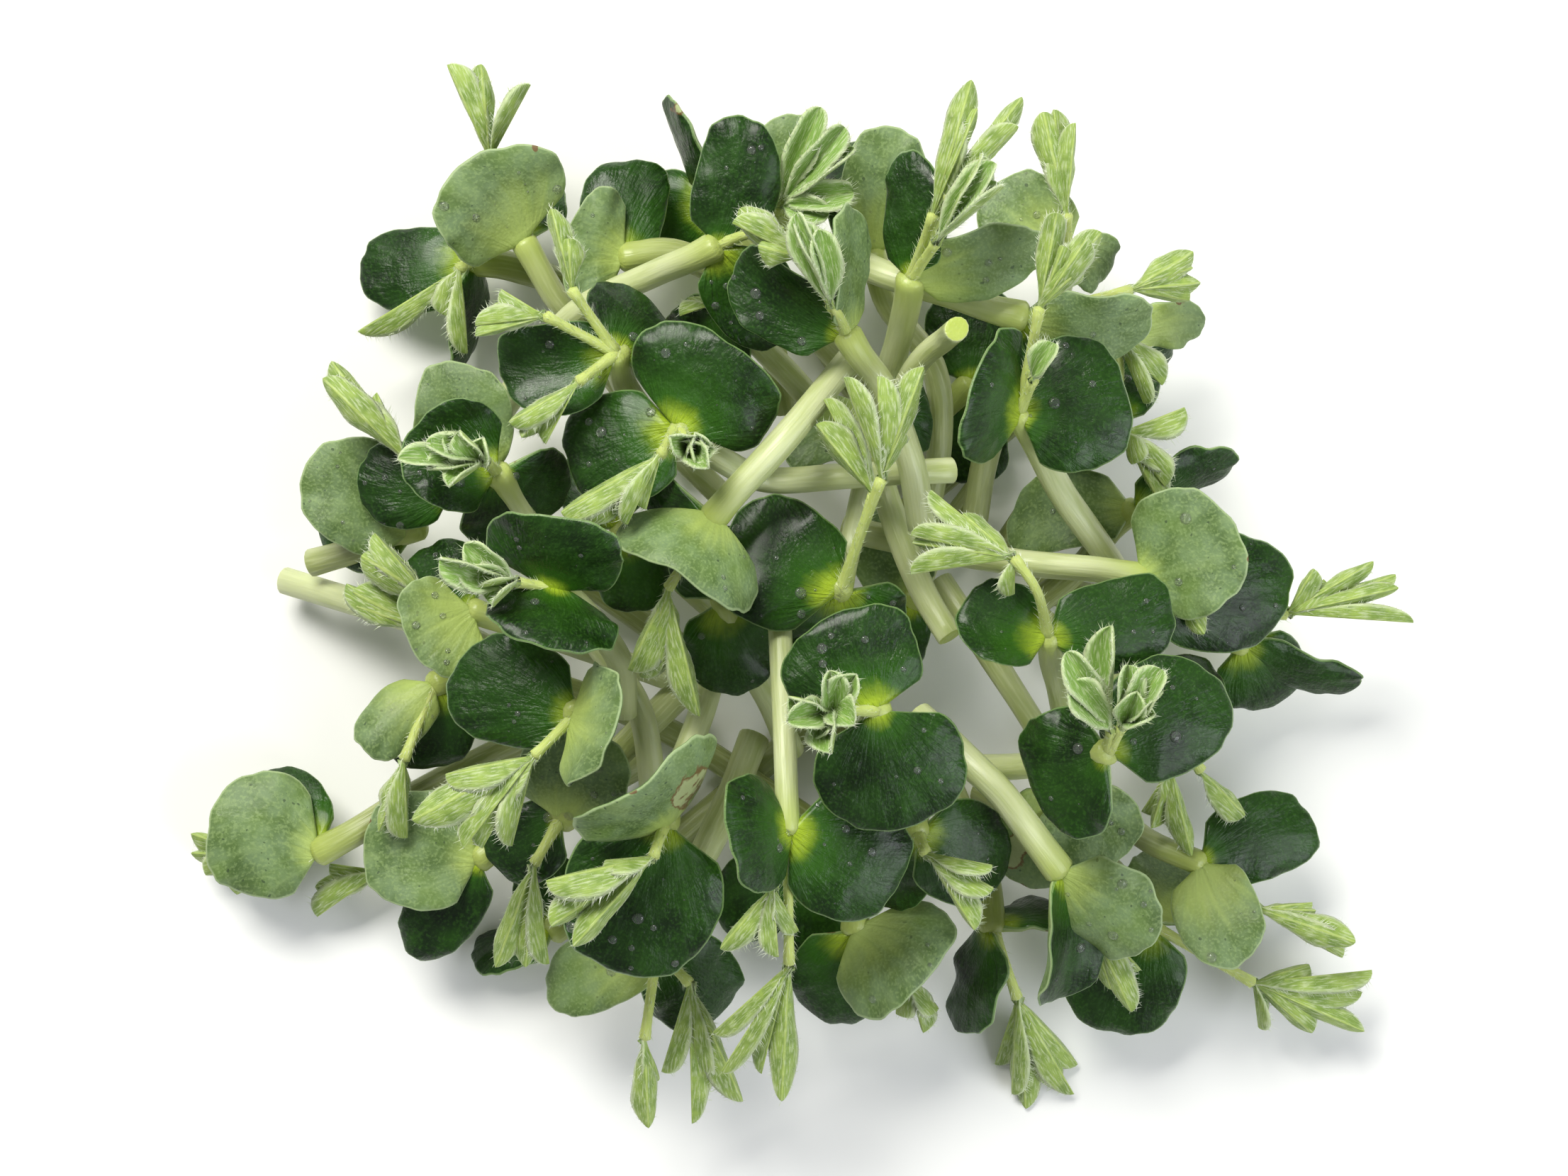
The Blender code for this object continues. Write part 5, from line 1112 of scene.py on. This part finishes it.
# Materials. Each reads what the growing surfaces carry: place and rays in mm, look and hurt.
def startMaterial(name):
    material = bpy.data.materials.new(name)
    material.use_nodes = True
    material.node_tree.nodes.clear()
    return material, material.node_tree


def finishMaterial(tree, sockets):
    shader = addNode(tree, "ShaderNodeBsdfPrincipled", sockets)
    addNode(tree, "ShaderNodeOutputMaterial", {"Surface": shader})


# The spot on the skin, the spot by angle and reach, and the parts of look.
def readShell(tree):
    place, rays, look = [
        addNode(tree, "ShaderNodeAttribute", attribute_name=name).outputs["Vector"]
        for name in ("place", "rays", "look")
    ]
    return place, rays, addNode(tree, "ShaderNodeSeparateXYZ", {0: look}).outputs


# A grown pattern: patches of one size in mm, drawn out along some axes.
def pattern(tree, spot, size, stretch=(1, 1, 1), detail=2.0):
    scale = tuple(1 / (size * part) for part in stretch)
    spot = addNode(tree, "ShaderNodeVectorMath", {0: spot, 1: scale}, operation="MULTIPLY")
    return addNode(tree, "ShaderNodeTexNoise", {"Vector": spot, "Scale": 1.0, "Detail": detail})


# Lays colours over a base: each as its share goes from low to high, up to the most that it covers.
def layered(tree, base, *layers):
    base = colour(base) if isinstance(base, str) else base
    for code, share, low, high, most in layers:
        share = addNode(
            tree, "ShaderNodeMapRange", {0: share, 1: low, 2: high, 4: most}, interpolation_type="SMOOTHSTEP"
        )
        base = addNode(tree, "ShaderNodeMix", {0: share, 6: base, 7: colour(code)}, data_type="RGBA")
    return base


# The relief of some patterns, each with its height in mm.
def relief(tree, *heights):
    total = 0.0
    for share, height in heights:
        total = addNode(tree, "ShaderNodeMath", {0: share, 1: height, 2: total}, operation="MULTIPLY_ADD")
    return addNode(tree, "ShaderNodeBump", {"Height": total, "Distance": mm})


# Wounds, from hurt, the mm inside their edge: a brown healed border about pale torn tissue.
def bruised(tree, base, place):
    hurt = addNode(tree, "ShaderNodeAttribute", attribute_name="hurt").outputs["Fac"]
    ragged = pattern(tree, place, 1.0, detail=3.0)
    hurt = addNode(tree, "ShaderNodeMath", {0: ragged, 1: 1.4, 2: hurt}, operation="MULTIPLY_ADD")
    return layered(tree, base, ("#6F4A22", hurt, 0.6, 0.78, 0.8), ("#A9B780", hurt, 0.88, 1.15, 0.85))


# Upper face of a seed leaf: a waxy cuticle grown over fleshy tissue, washed and still wet.
# It gives dark green with fine ribs running out to the rim, broken gloss and a yellow patch at the foot.
def makeUpperSkin():
    setup = dict(deep="#0E2307", leaf="#1D3D0B", rib="#355E1C", young="#316010")
    setup.update(foot="#9DB52C", rim="#7C9A5E")
    material, tree = startMaterial("waxyUpperLeafGrown")
    place, rays, look = readShell(tree)
    ribs = pattern(tree, rays, 1.0, (0.1, 6.0, 1.0), 3.0)  # about 1.1 mm wide halfway out
    fine = pattern(tree, rays, 1.0, (0.035, 3.0, 1.0))
    blotch = pattern(tree, place, 6.0)
    cells = pattern(tree, place, 0.45)
    wet = pattern(tree, place, 3.5, detail=3.0)
    dimples = pattern(tree, place, 2.6, detail=1.0)
    outward = addNode(tree, "ShaderNodeMapRange", {0: look[0], 1: 0.4, 2: 0.95, 3: 0.2, 4: 1.0})
    raised = addNode(tree, "ShaderNodeMath", {0: outward, 1: ribs}, operation="MULTIPLY")
    reach = addNode(tree, "ShaderNodeMath", {0: ribs, 1: 1.2, 2: look[1]}, operation="MULTIPLY_ADD")
    reach = addNode(tree, "ShaderNodeMath", {0: wet, 1: 3.0, 2: reach}, operation="MULTIPLY_ADD")
    base = layered(
        tree, setup["deep"],
        (setup["leaf"], blotch, 0.28, 0.6, 1.0),
        (setup["rib"], ribs, 0.5, 0.8, 0.3),
        (setup["rib"], cells, 0.45, 0.75, 0.45),
        (setup["young"], reach, 12.5, 4.6, 0.75),
        (setup["foot"], reach, 7.0, 3.2, 0.92),
        (setup["rim"], look[0], 0.972, 0.992, 0.75),
    )
    finishMaterial(tree, {
        "Base Color": bruised(tree, base, place),
        "Roughness": addNode(tree, "ShaderNodeMapRange", {0: wet, 1: 0.35, 2: 0.65, 3: 0.3, 4: 0.5}),
        "Normal": relief(tree, (dimples, 0.5), (raised, 0.55), (fine, 0.12), (cells, 0.13)),
        "Specular IOR Level": 0.22,
        "Coat Weight": 0.2,
        "Coat Roughness": 0.18,
    })
    return material


# Under face of a seed leaf: the same tissue without gloss, a bloom of wax over it.
# It gives greyish sage with pale pores and a few dark specks, pale yellow towards the stem.
def makeUnderSkin():
    setup = dict(shade="#4A6330", leaf="#6A8445", bloom="#7C946A", pore="#8AA166")
    setup.update(foot="#ADC065", speck="#33452A", rim="#A2B684", scar="#6A4526")
    material, tree = startMaterial("bloomedUnderLeafGrown")
    place, rays, look = readShell(tree)
    veins = pattern(tree, rays, 1.0, (0.16, 8.0, 1.0))
    blotch = pattern(tree, place, 7.0)
    bloom = pattern(tree, place, 3.0, detail=3.0)
    pores = pattern(tree, place, 0.4, detail=1.0)
    specks = pattern(tree, place, 0.75, detail=0.0)
    reach = addNode(tree, "ShaderNodeMath", {0: veins, 1: 7.0, 2: look[1]}, operation="MULTIPLY_ADD")
    torn = addNode(tree, "ShaderNodeMath", {0: pattern(tree, place, 3.0), 1: look[0]}, operation="MULTIPLY")
    base = layered(
        tree, setup["shade"],
        (setup["leaf"], blotch, 0.3, 0.68, 1.0),
        (setup["shade"], look[2], 0.45, 1.0, 0.55),
        (setup["bloom"], bloom, 0.35, 0.7, 0.6),
        (setup["pore"], pores, 0.45, 0.7, 0.5),
        (setup["pore"], veins, 0.5, 0.75, 0.4),
        (setup["speck"], specks, 0.78, 0.82, 0.7),
        (setup["foot"], reach, 14.5, 5.0, 0.85),
        (setup["rim"], look[0], 0.965, 0.99, 0.8),
        (setup["scar"], torn, 0.68, 0.71, 0.85),
    )
    finishMaterial(tree, {
        "Base Color": bruised(tree, base, place),
        "Roughness": addNode(tree, "ShaderNodeMapRange", {0: bloom, 1: 0.3, 2: 0.7, 3: 0.42, 4: 0.6}),
        "Normal": relief(tree, (veins, 0.2), (pores, 0.06)),
        "Specular IOR Level": 0.4,
    })
    return material


# Stem: a juicy bleached shoot, grown in the shade of the tray and cut clean through.
# It gives pale yellow-green that light soaks into, with long fibres, a greener core at the cut, and painted
# shade: olive on stems that lie deep in the heap.
def makeStemSkin():
    setup = dict(pale="#CED5A6", green="#A6B36C", node="#A9B85C", paintedShadeOlive="#848F4C", core="#AEBF50")
    material, tree = startMaterial("juicyStemGrownCut")
    place, rays, look = readShell(tree)
    fibres = pattern(tree, place, 0.4, (12.0, 1.0, 1.0))
    blotch = pattern(tree, place, 2.5, (5.0, 1.0, 1.0))
    finishMaterial(tree, {
        "Base Color": layered(
            tree, setup["green"],
            (setup["pale"], blotch, 0.25, 0.65, 0.9),
            # painted shade: olive on stems that lie deep in the heap
            (setup["paintedShadeOlive"], look[2], 0.3, 1.0, 0.85),
            (setup["pale"], fibres, 0.45, 0.75, 0.4),
            (setup["node"], look[0], 9.0, -1.0, 0.9),
            (setup["core"], look[1], 0.3, 0.9, 0.9),
        ),
        "Roughness": addNode(tree, "ShaderNodeMapRange", {0: fibres, 1: 0.3, 2: 0.7, 3: 0.32, 4: 0.5}),
        "Normal": relief(tree, (fibres, 0.1)),
        "Subsurface Weight": 0.3,
        "Subsurface Radius": (1.0, 0.9, 0.35),
        "Subsurface Scale": 0.9 * mm,
        "Coat Weight": 0.12,
        "Coat Roughness": 0.25,
    })
    return material


# Leaflets and their stalks: soft young blades under silky down, grown folded.
# The outer face is silvered by hairs lying along it, the inner face is a clear green.
def makeDownySkin(name, outer, shade, silver, inner, rib):
    material, tree = startMaterial(name)
    place, rays, look = readShell(tree)
    lying = pattern(tree, place, 0.26, (6.0, 1.0, 1.0), 3.0)
    finishMaterial(tree, {
        "Base Color": layered(
            tree, shade,
            (outer, pattern(tree, place, 2.5), 0.3, 0.7, 1.0),
            (inner, look[1], -0.1, -0.6, 1.0),
            (silver, lying, 0.45, 0.7, 0.5),
            (silver, look[0], 0.7, 1.0, 0.7),
            (rib, look[0], 0.1, 0.02, 0.5),
        ),
        "Roughness": addNode(tree, "ShaderNodeMapRange", {0: lying, 1: 0.3, 2: 0.7, 3: 0.66, 4: 0.5}),
        "Normal": relief(tree, (lying, 0.12)),
        "Specular IOR Level": 0.35,
        "Sheen Weight": 0.2,
        "Sheen Roughness": 0.4,
        "Sheen Tint": colour("#E8F0D8"),
        "Subsurface Weight": 0.12,
        "Subsurface Radius": (0.6, 1.0, 0.3),
        "Subsurface Scale": 0.6 * mm,
    })
    return material


# Down on the leaflets: silky hairs, grown; they catch light as a pale fringe.
def makeHairSkin():
    material, tree = startMaterial("silkyDownGrown")
    spot = addNode(tree, "ShaderNodeTexCoord").outputs["Object"]
    tint = addNode(tree, "ShaderNodeTexNoise", {"Vector": spot, "Scale": 900.0, "Detail": 0.0})
    base = layered(tree, "#C3D2A4", ("#EEF3E0", tint, 0.3, 0.7, 1.0))
    finishMaterial(tree, {"Base Color": base, "Roughness": 0.42})
    return material


# Water left from washing, sprayed and beaded: clear and smooth, with a bright glint.
def makeWaterSkin():
    material, tree = startMaterial("washWaterBeaded")
    spot = addNode(tree, "ShaderNodeTexCoord").outputs["Object"]
    ripple = addNode(tree, "ShaderNodeTexNoise", {"Vector": spot, "Scale": 1500.0, "Detail": 1.0})
    finishMaterial(tree, {
        "Base Color": (1.0, 1.0, 1.0, 1.0),
        "Roughness": 0.03,
        "IOR": 1.333,
        "Transmission Weight": 0.95,
        "Normal": relief(tree, (ripple, 0.003)),
    })
    return material


# A Geometry Nodes tree that lays something on leaves: its inputs are numbers, a seed and a skin.
def startTree(name, numbers, skin):
    tree = bpy.data.node_groups.new(name, "GeometryNodeTree")
    kinds = ["Geometry", *["Float"] * len(numbers), "Int", "Material"]
    for title, kind in zip(("Leaves", *numbers, "Seed", skin), kinds):
        tree.interface.new_socket(title, in_out="INPUT", socket_type="NodeSocket" + kind)
    tree.interface.new_socket("Grown", in_out="OUTPUT", socket_type="NodeSocketGeometry")
    return tree, addNode(tree, "NodeGroupInput").outputs


# Hairs: slim three-sided spikes that point the way they are told.
def makeHairTree():
    numbers = "Hairs per m2", "Hair Length", "Hair Radius", "Wander"
    tree, given = startTree("downOnLeaves", numbers, "Hair Skin")
    furry = addNode(tree, "GeometryNodeInputNamedAttribute", {"Name": "furry"}, data_type="FLOAT")
    dense = addNode(tree, "ShaderNodeMath", {0: given["Hairs per m2"], 1: furry}, operation="MULTIPLY")
    spots = addNode(tree, "GeometryNodeDistributePointsOnFaces", {
        "Mesh": given["Leaves"], "Density": dense, "Seed": given["Seed"],
    })
    way = addNode(tree, "GeometryNodeInputNamedAttribute", {"Name": "way"}, data_type="FLOAT_VECTOR")
    corners = {0: (-1, -1, -1), 1: (1, 1, 1)}
    stray = addNode(tree, "FunctionNodeRandomValue", corners, data_type="FLOAT_VECTOR")
    stray = addNode(tree, "ShaderNodeVectorMath", {0: stray, "Scale": given["Wander"]}, operation="SCALE")
    way = addNode(tree, "ShaderNodeVectorMath", {0: way, 1: stray}, operation="ADD")
    spike = addNode(tree, "GeometryNodeMeshCone", {
        "Vertices": 3,
        "Radius Top": 0.0,
        "Radius Bottom": given["Hair Radius"],
        "Depth": given["Hair Length"],
    })
    spread = addNode(tree, "GeometryNodeInstanceOnPoints", {
        "Points": spots.outputs["Points"],
        "Instance": spike.outputs["Mesh"],
        "Rotation": addNode(tree, "FunctionNodeAlignRotationToVector", {"Vector": way}, axis="Z"),
        "Scale": addNode(tree, "FunctionNodeRandomValue", {2: 0.5, 3: 1.25}, data_type="FLOAT"),
    })
    whole = addNode(tree, "GeometryNodeRealizeInstances", {0: spread})
    skin = addNode(tree, "GeometryNodeSetMaterial", {"Geometry": whole, "Material": given["Hair Skin"]})
    addNode(tree, "NodeGroupOutput", {0: skin})
    return tree


# Beads of water on the faces marked wet: flattened drops of mixed sizes.
def makeDropTree():
    numbers = "Drops per m2", "Least Gap", "Smallest", "Largest", "Flatness"
    tree, given = startTree("waterOnLeaves", numbers, "Water")
    wet = addNode(tree, "GeometryNodeInputNamedAttribute", {"Name": "wet"}, data_type="FLOAT")
    spots = addNode(tree, "GeometryNodeDistributePointsOnFaces", {
        "Mesh": given["Leaves"],
        "Distance Min": given["Least Gap"],
        "Density Max": given["Drops per m2"],
        "Density Factor": wet,
        "Seed": given["Seed"],
    }, distribute_method="POISSON")
    bead = addNode(tree, "GeometryNodeMeshUVSphere", {"Segments": 10, "Rings": 6, "Radius": 1.0})
    chance = addNode(tree, "FunctionNodeRandomValue", {2: 0.0, 3: 1.0}, data_type="FLOAT")
    rare = addNode(tree, "ShaderNodeMath", {0: chance, 1: 3.0}, operation="POWER")
    size = addNode(tree, "ShaderNodeMapRange", {0: rare, 3: given["Smallest"], 4: given["Largest"]})
    flat = addNode(tree, "ShaderNodeMath", {0: size, 1: given["Flatness"]}, operation="MULTIPLY")
    spread = addNode(tree, "GeometryNodeInstanceOnPoints", {
        "Points": spots.outputs["Points"],
        "Instance": bead.outputs["Mesh"],
        "Rotation": spots.outputs["Rotation"],
        "Scale": addNode(tree, "ShaderNodeCombineXYZ", {0: size, 1: size, 2: flat}),
    })
    whole = addNode(tree, "GeometryNodeRealizeInstances", {0: spread})
    skin = addNode(tree, "GeometryNodeSetMaterial", {"Geometry": whole, "Material": given["Water"]})
    addNode(tree, "NodeGroupOutput", {0: addNode(tree, "GeometryNodeSetShadeSmooth", {0: skin})})
    return tree


# Puts data in the scene as an object under the same name.
def addObject(data):
    item = bpy.data.objects.new(data.name, data)
    bpy.context.scene.collection.objects.link(item)
    return item


# Makes an object of points in mm, with the attributes that the skins, hairs or drops read.
def makeMesh(name, points, faces, materials=(), skinNumbers=None, **attributes):
    mesh = bpy.data.meshes.new(name)
    mesh.from_pydata((points * mm).tolist(), [], faces)
    for key, values in attributes.items():
        kind, slot = ("FLOAT_VECTOR", "vector") if values.shape[-1] == 3 else ("FLOAT", "value")
        kept = mesh.attributes.new(key, kind, "POINT")
        kept.data.foreach_set(slot, values.astype(np.float32).ravel())
    for material in materials:
        mesh.materials.append(material)
    if skinNumbers is not None:
        mesh.polygons.foreach_set("material_index", skinNumbers)
    mesh.polygons.foreach_set("use_smooth", [True] * len(mesh.polygons))
    mesh.update()
    return addObject(mesh)


# Runs a tree on a ground mesh and keeps the result as a plain mesh of its own.
def grow(name, ground, tree, values):
    modifier = ground.modifiers.new("Grow", "NODES")
    modifier.node_group = tree
    for item in tree.interface.items_tree:
        if item.in_out == "INPUT" and item.name in values:
            modifier[item.identifier] = values[item.name]
    bpy.context.view_layer.update()
    mesh = bpy.data.meshes.new_from_object(ground.evaluated_get(bpy.context.evaluated_depsgraph_get()))
    bpy.data.objects.remove(ground, do_unlink=True)
    for attribute in [a.name for a in mesh.attributes if a.name in ("furry", "way", "wet")]:
        mesh.attributes.remove(mesh.attributes[attribute])
    mesh.name = name
    piece = addObject(mesh)
    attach(piece, "root")
    print(piece.name, sum(len(p.vertices) - 2 for p in mesh.polygons), "triangles")


heap = [plan(number, spec, 11 + i) for i, (number, spec) in enumerate(seedlings.items())]
settle(heap)
coarse = np.vstack([seenAt(points) for seedling in heap for points, rows, faces in solids(seedling)])
low, high = coarse.min(axis=0), coarse.max(axis=0)
shift = np.array([-(low[0] + high[0]) / 2, -(low[1] + high[1]) / 2, -low[2] - heapSetup["floorPress"]])
print("heap settled, moved by", np.round(shift, 2))

seedlingSkins = [
    makeStemSkin(),
    makeUpperSkin(),
    makeUnderSkin(),
    makeDownySkin("downyStalkGrown", "#B9C768", "#A4B455", "#D3DDAA", "#B9C768", "#BFCC78"),
    makeDownySkin("downyLeafletGrown", "#97AF54", "#748F3E", "#D5DFB8", "#7C9F49", "#C0D077"),
]
draw = np.random.default_rng(29)
downy = dict(points=[], faces=[], way=[], furry=[], flare=[], fringe=[])
leafy = dict(points=[], faces=[], wet=[])
downSetup = dict(stand=0.75, fringeLean=0.5, radius=0.036)  # how hairs stand and lean, and mm at their foot
wetSetup = dict(lowest=18.0, widest=0.95, level=0.45)  # water stands on high, level skin inside the rims
# Wounds of three seed leaves: x and y of each middle on the table, and its reach, in mm.
wounds = dict(
    seedling_22=((-14.0, -28.6, 1.2), (-12.8, -26.7, 1.4), (-11.1, -25.1, 1.2)),
    seedling_33=((31.3, -34.6, 1.7), (30.9, -36.6, 1.3)),
    seedling_57=((-14.2, 64.4, 0.9),),
)
for seedling in heap:
    shell = dict(points=[], faces=[], skins=[], **{name: [] for name in fields})
    growStem(shell, seedling, draw)
    turnOutward(shell, 0)
    for item in seedling["seedLeaves"]:
        since = len(shell["faces"])
        growSeedLeaf(shell, seedling, item, draw)
        turnOutward(shell, since)
    for item in seedling["leaves"]:
        growLeaf(shell, seedling, item, draw)
    points = np.vstack(shell["points"])
    hurt = np.full((len(points), 1), -2.0)
    for x, y, reach in wounds.get(seedling["name"], ()):
        hurt[:, 0] = np.maximum(hurt[:, 0], reach - np.hypot(points[:, 0] - x, points[:, 1] - y))
    points = seenAt(points) + shift
    points[:, 2] = np.maximum(points[:, 2], 0.0)
    grown = {name: np.vstack(shell[name]) for name in fields}
    numbers = np.array(shell["skins"])
    read = dict(hurt=hurt, **{name: grown[name] for name in ("place", "rays", "look")})
    piece = makeMesh("grown_" + seedling["name"], points, shell["faces"], seedlingSkins, numbers, **read)
    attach(piece, "root")
    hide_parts(seedling["name"])
    normals = np.zeros(len(points) * 3)
    piece.data.vertices.foreach_get("normal", normals)
    normals = normals.reshape(-1, 3)
    level = np.clip((normals[:, 2:] - wetSetup["level"]) * 2, 0, 1)
    high = (points[:, 2:] > wetSetup["lowest"]) * (grown["look"][:, :1] < wetSetup["widest"])
    first = sum(len(rows) for rows in downy["points"])
    for face, number in zip(shell["faces"], numbers):
        ground = dict(stalk=downy, leaflet=downy, upper=leafy, under=leafy).get(skins[number])
        if ground:
            ground["faces"].append(tuple(i + first for i in face))
    downy["points"].append(points)
    downy["way"].append(grown["lean"] + downSetup["stand"] * normals)
    downy["furry"].append(grown["furry"])
    downy["flare"].append(grown["flare"] + downSetup["fringeLean"] * grown["lean"])
    downy["fringe"].append(grown["fringe"] ** 2)
    leafy["points"].append(points)
    leafy["wet"].append(level * high)
print("seedlings grown")

downyPoints, leafyPoints = np.vstack(downy["points"]), np.vstack(leafy["points"])
hairTree, hairSkin = makeHairTree(), makeHairSkin()
for name, way, furry, count, length, wander, seed in (
    ("silkyDown", "way", "furry", 2.8e6, 1.0, 0.34, 3),
    ("fringeDown", "flare", "fringe", 9.0e6, 1.1, 0.25, 4),
):
    read = dict(way=np.vstack(downy[way]), furry=np.vstack(downy[furry]))
    ground = makeMesh(name + "Ground", downyPoints, downy["faces"], **read)
    grow(name, ground, hairTree, {
        "Hairs per m2": count, "Hair Length": length * mm, "Hair Radius": downSetup["radius"] * mm,
        "Wander": wander, "Seed": seed, "Hair Skin": hairSkin,
    })
grow(
    "waterDrops",
    makeMesh("leafGround", leafyPoints, leafy["faces"], wet=np.vstack(leafy["wet"])),
    makeDropTree(),
    {
        "Drops per m2": 6.0e4, "Least Gap": 1.0 * mm, "Smallest": 0.1 * mm, "Largest": 0.85 * mm,
        "Flatness": 0.42, "Seed": 5, "Water": makeWaterSkin(),
    },
)

# The floor: a painted card, matt and nearly white, that takes a soft shadow.
floorHalf = 3.0  # m
floorMesh = bpy.data.meshes.new("floor")
corners = [(x * floorHalf, y * floorHalf, 0) for x, y in ((-1, -1), (1, -1), (1, 1), (-1, 1))]
floorMesh.from_pydata(corners, [], [(0, 1, 2, 3)])
floor = addObject(floorMesh)
card, tree = startMaterial("matCardPainted")
spot = addNode(tree, "ShaderNodeTexCoord").outputs["Object"]
mottle = addNode(tree, "ShaderNodeTexNoise", {"Vector": spot, "Scale": 40.0})
base = layered(tree, "#F4F4F2", ("#F8F8F6", mottle, 0.3, 0.7, 1.0))
finishMaterial(tree, {"Base Color": base, "Roughness": 0.9})
floorMesh.materials.append(card)

camera = bpy.data.cameras.new("camera")
camera.sensor_width = 36.0
camera.sensor_fit = "HORIZONTAL"
frameWidth = viewSetup["photoWidth"] / viewSetup["pixelsPerMm"]
camera.lens = camera.sensor_width * (viewSetup["eyeHeight"] - viewSetup["planeHeight"]) / frameWidth
camera.clip_start = 0.01
eye = addObject(camera)
eye.location = Vector((shift[0], shift[1], viewSetup["eyeHeight"] + shift[2])) * mm
bpy.context.scene.camera = eye

# A warm key from behind on the left, a cooler fill from the right: place and size in m, power in W.
for name, place, size, power, tint in (
    ("softboxKey", (-0.3, 0.6, 0.75), (0.5, 0.4), 12.0, "#FFFDF6"),
    ("softboxFill", (0.75, -0.35, 0.7), (0.7, 0.7), 7.0, "#F4F8FF"),
):
    light = bpy.data.lights.new(name, "AREA")
    light.shape = "RECTANGLE"
    light.size, light.size_y = size
    light.energy = power
    light.color = colour(tint)[:3]
    softbox = addObject(light)
    softbox.location = place
    softbox.rotation_euler = (-Vector(place)).to_track_quat("-Z", "Y").to_euler()
world = bpy.data.worlds.new("studio")
world.use_nodes = True
world.node_tree.nodes["Background"].inputs["Color"].default_value = colour("#F7F9FA")
world.node_tree.nodes["Background"].inputs["Strength"].default_value = 0.3
bpy.context.scene.world = world
bpy.context.scene.view_settings.view_transform = "Standard"

print("scene ready")
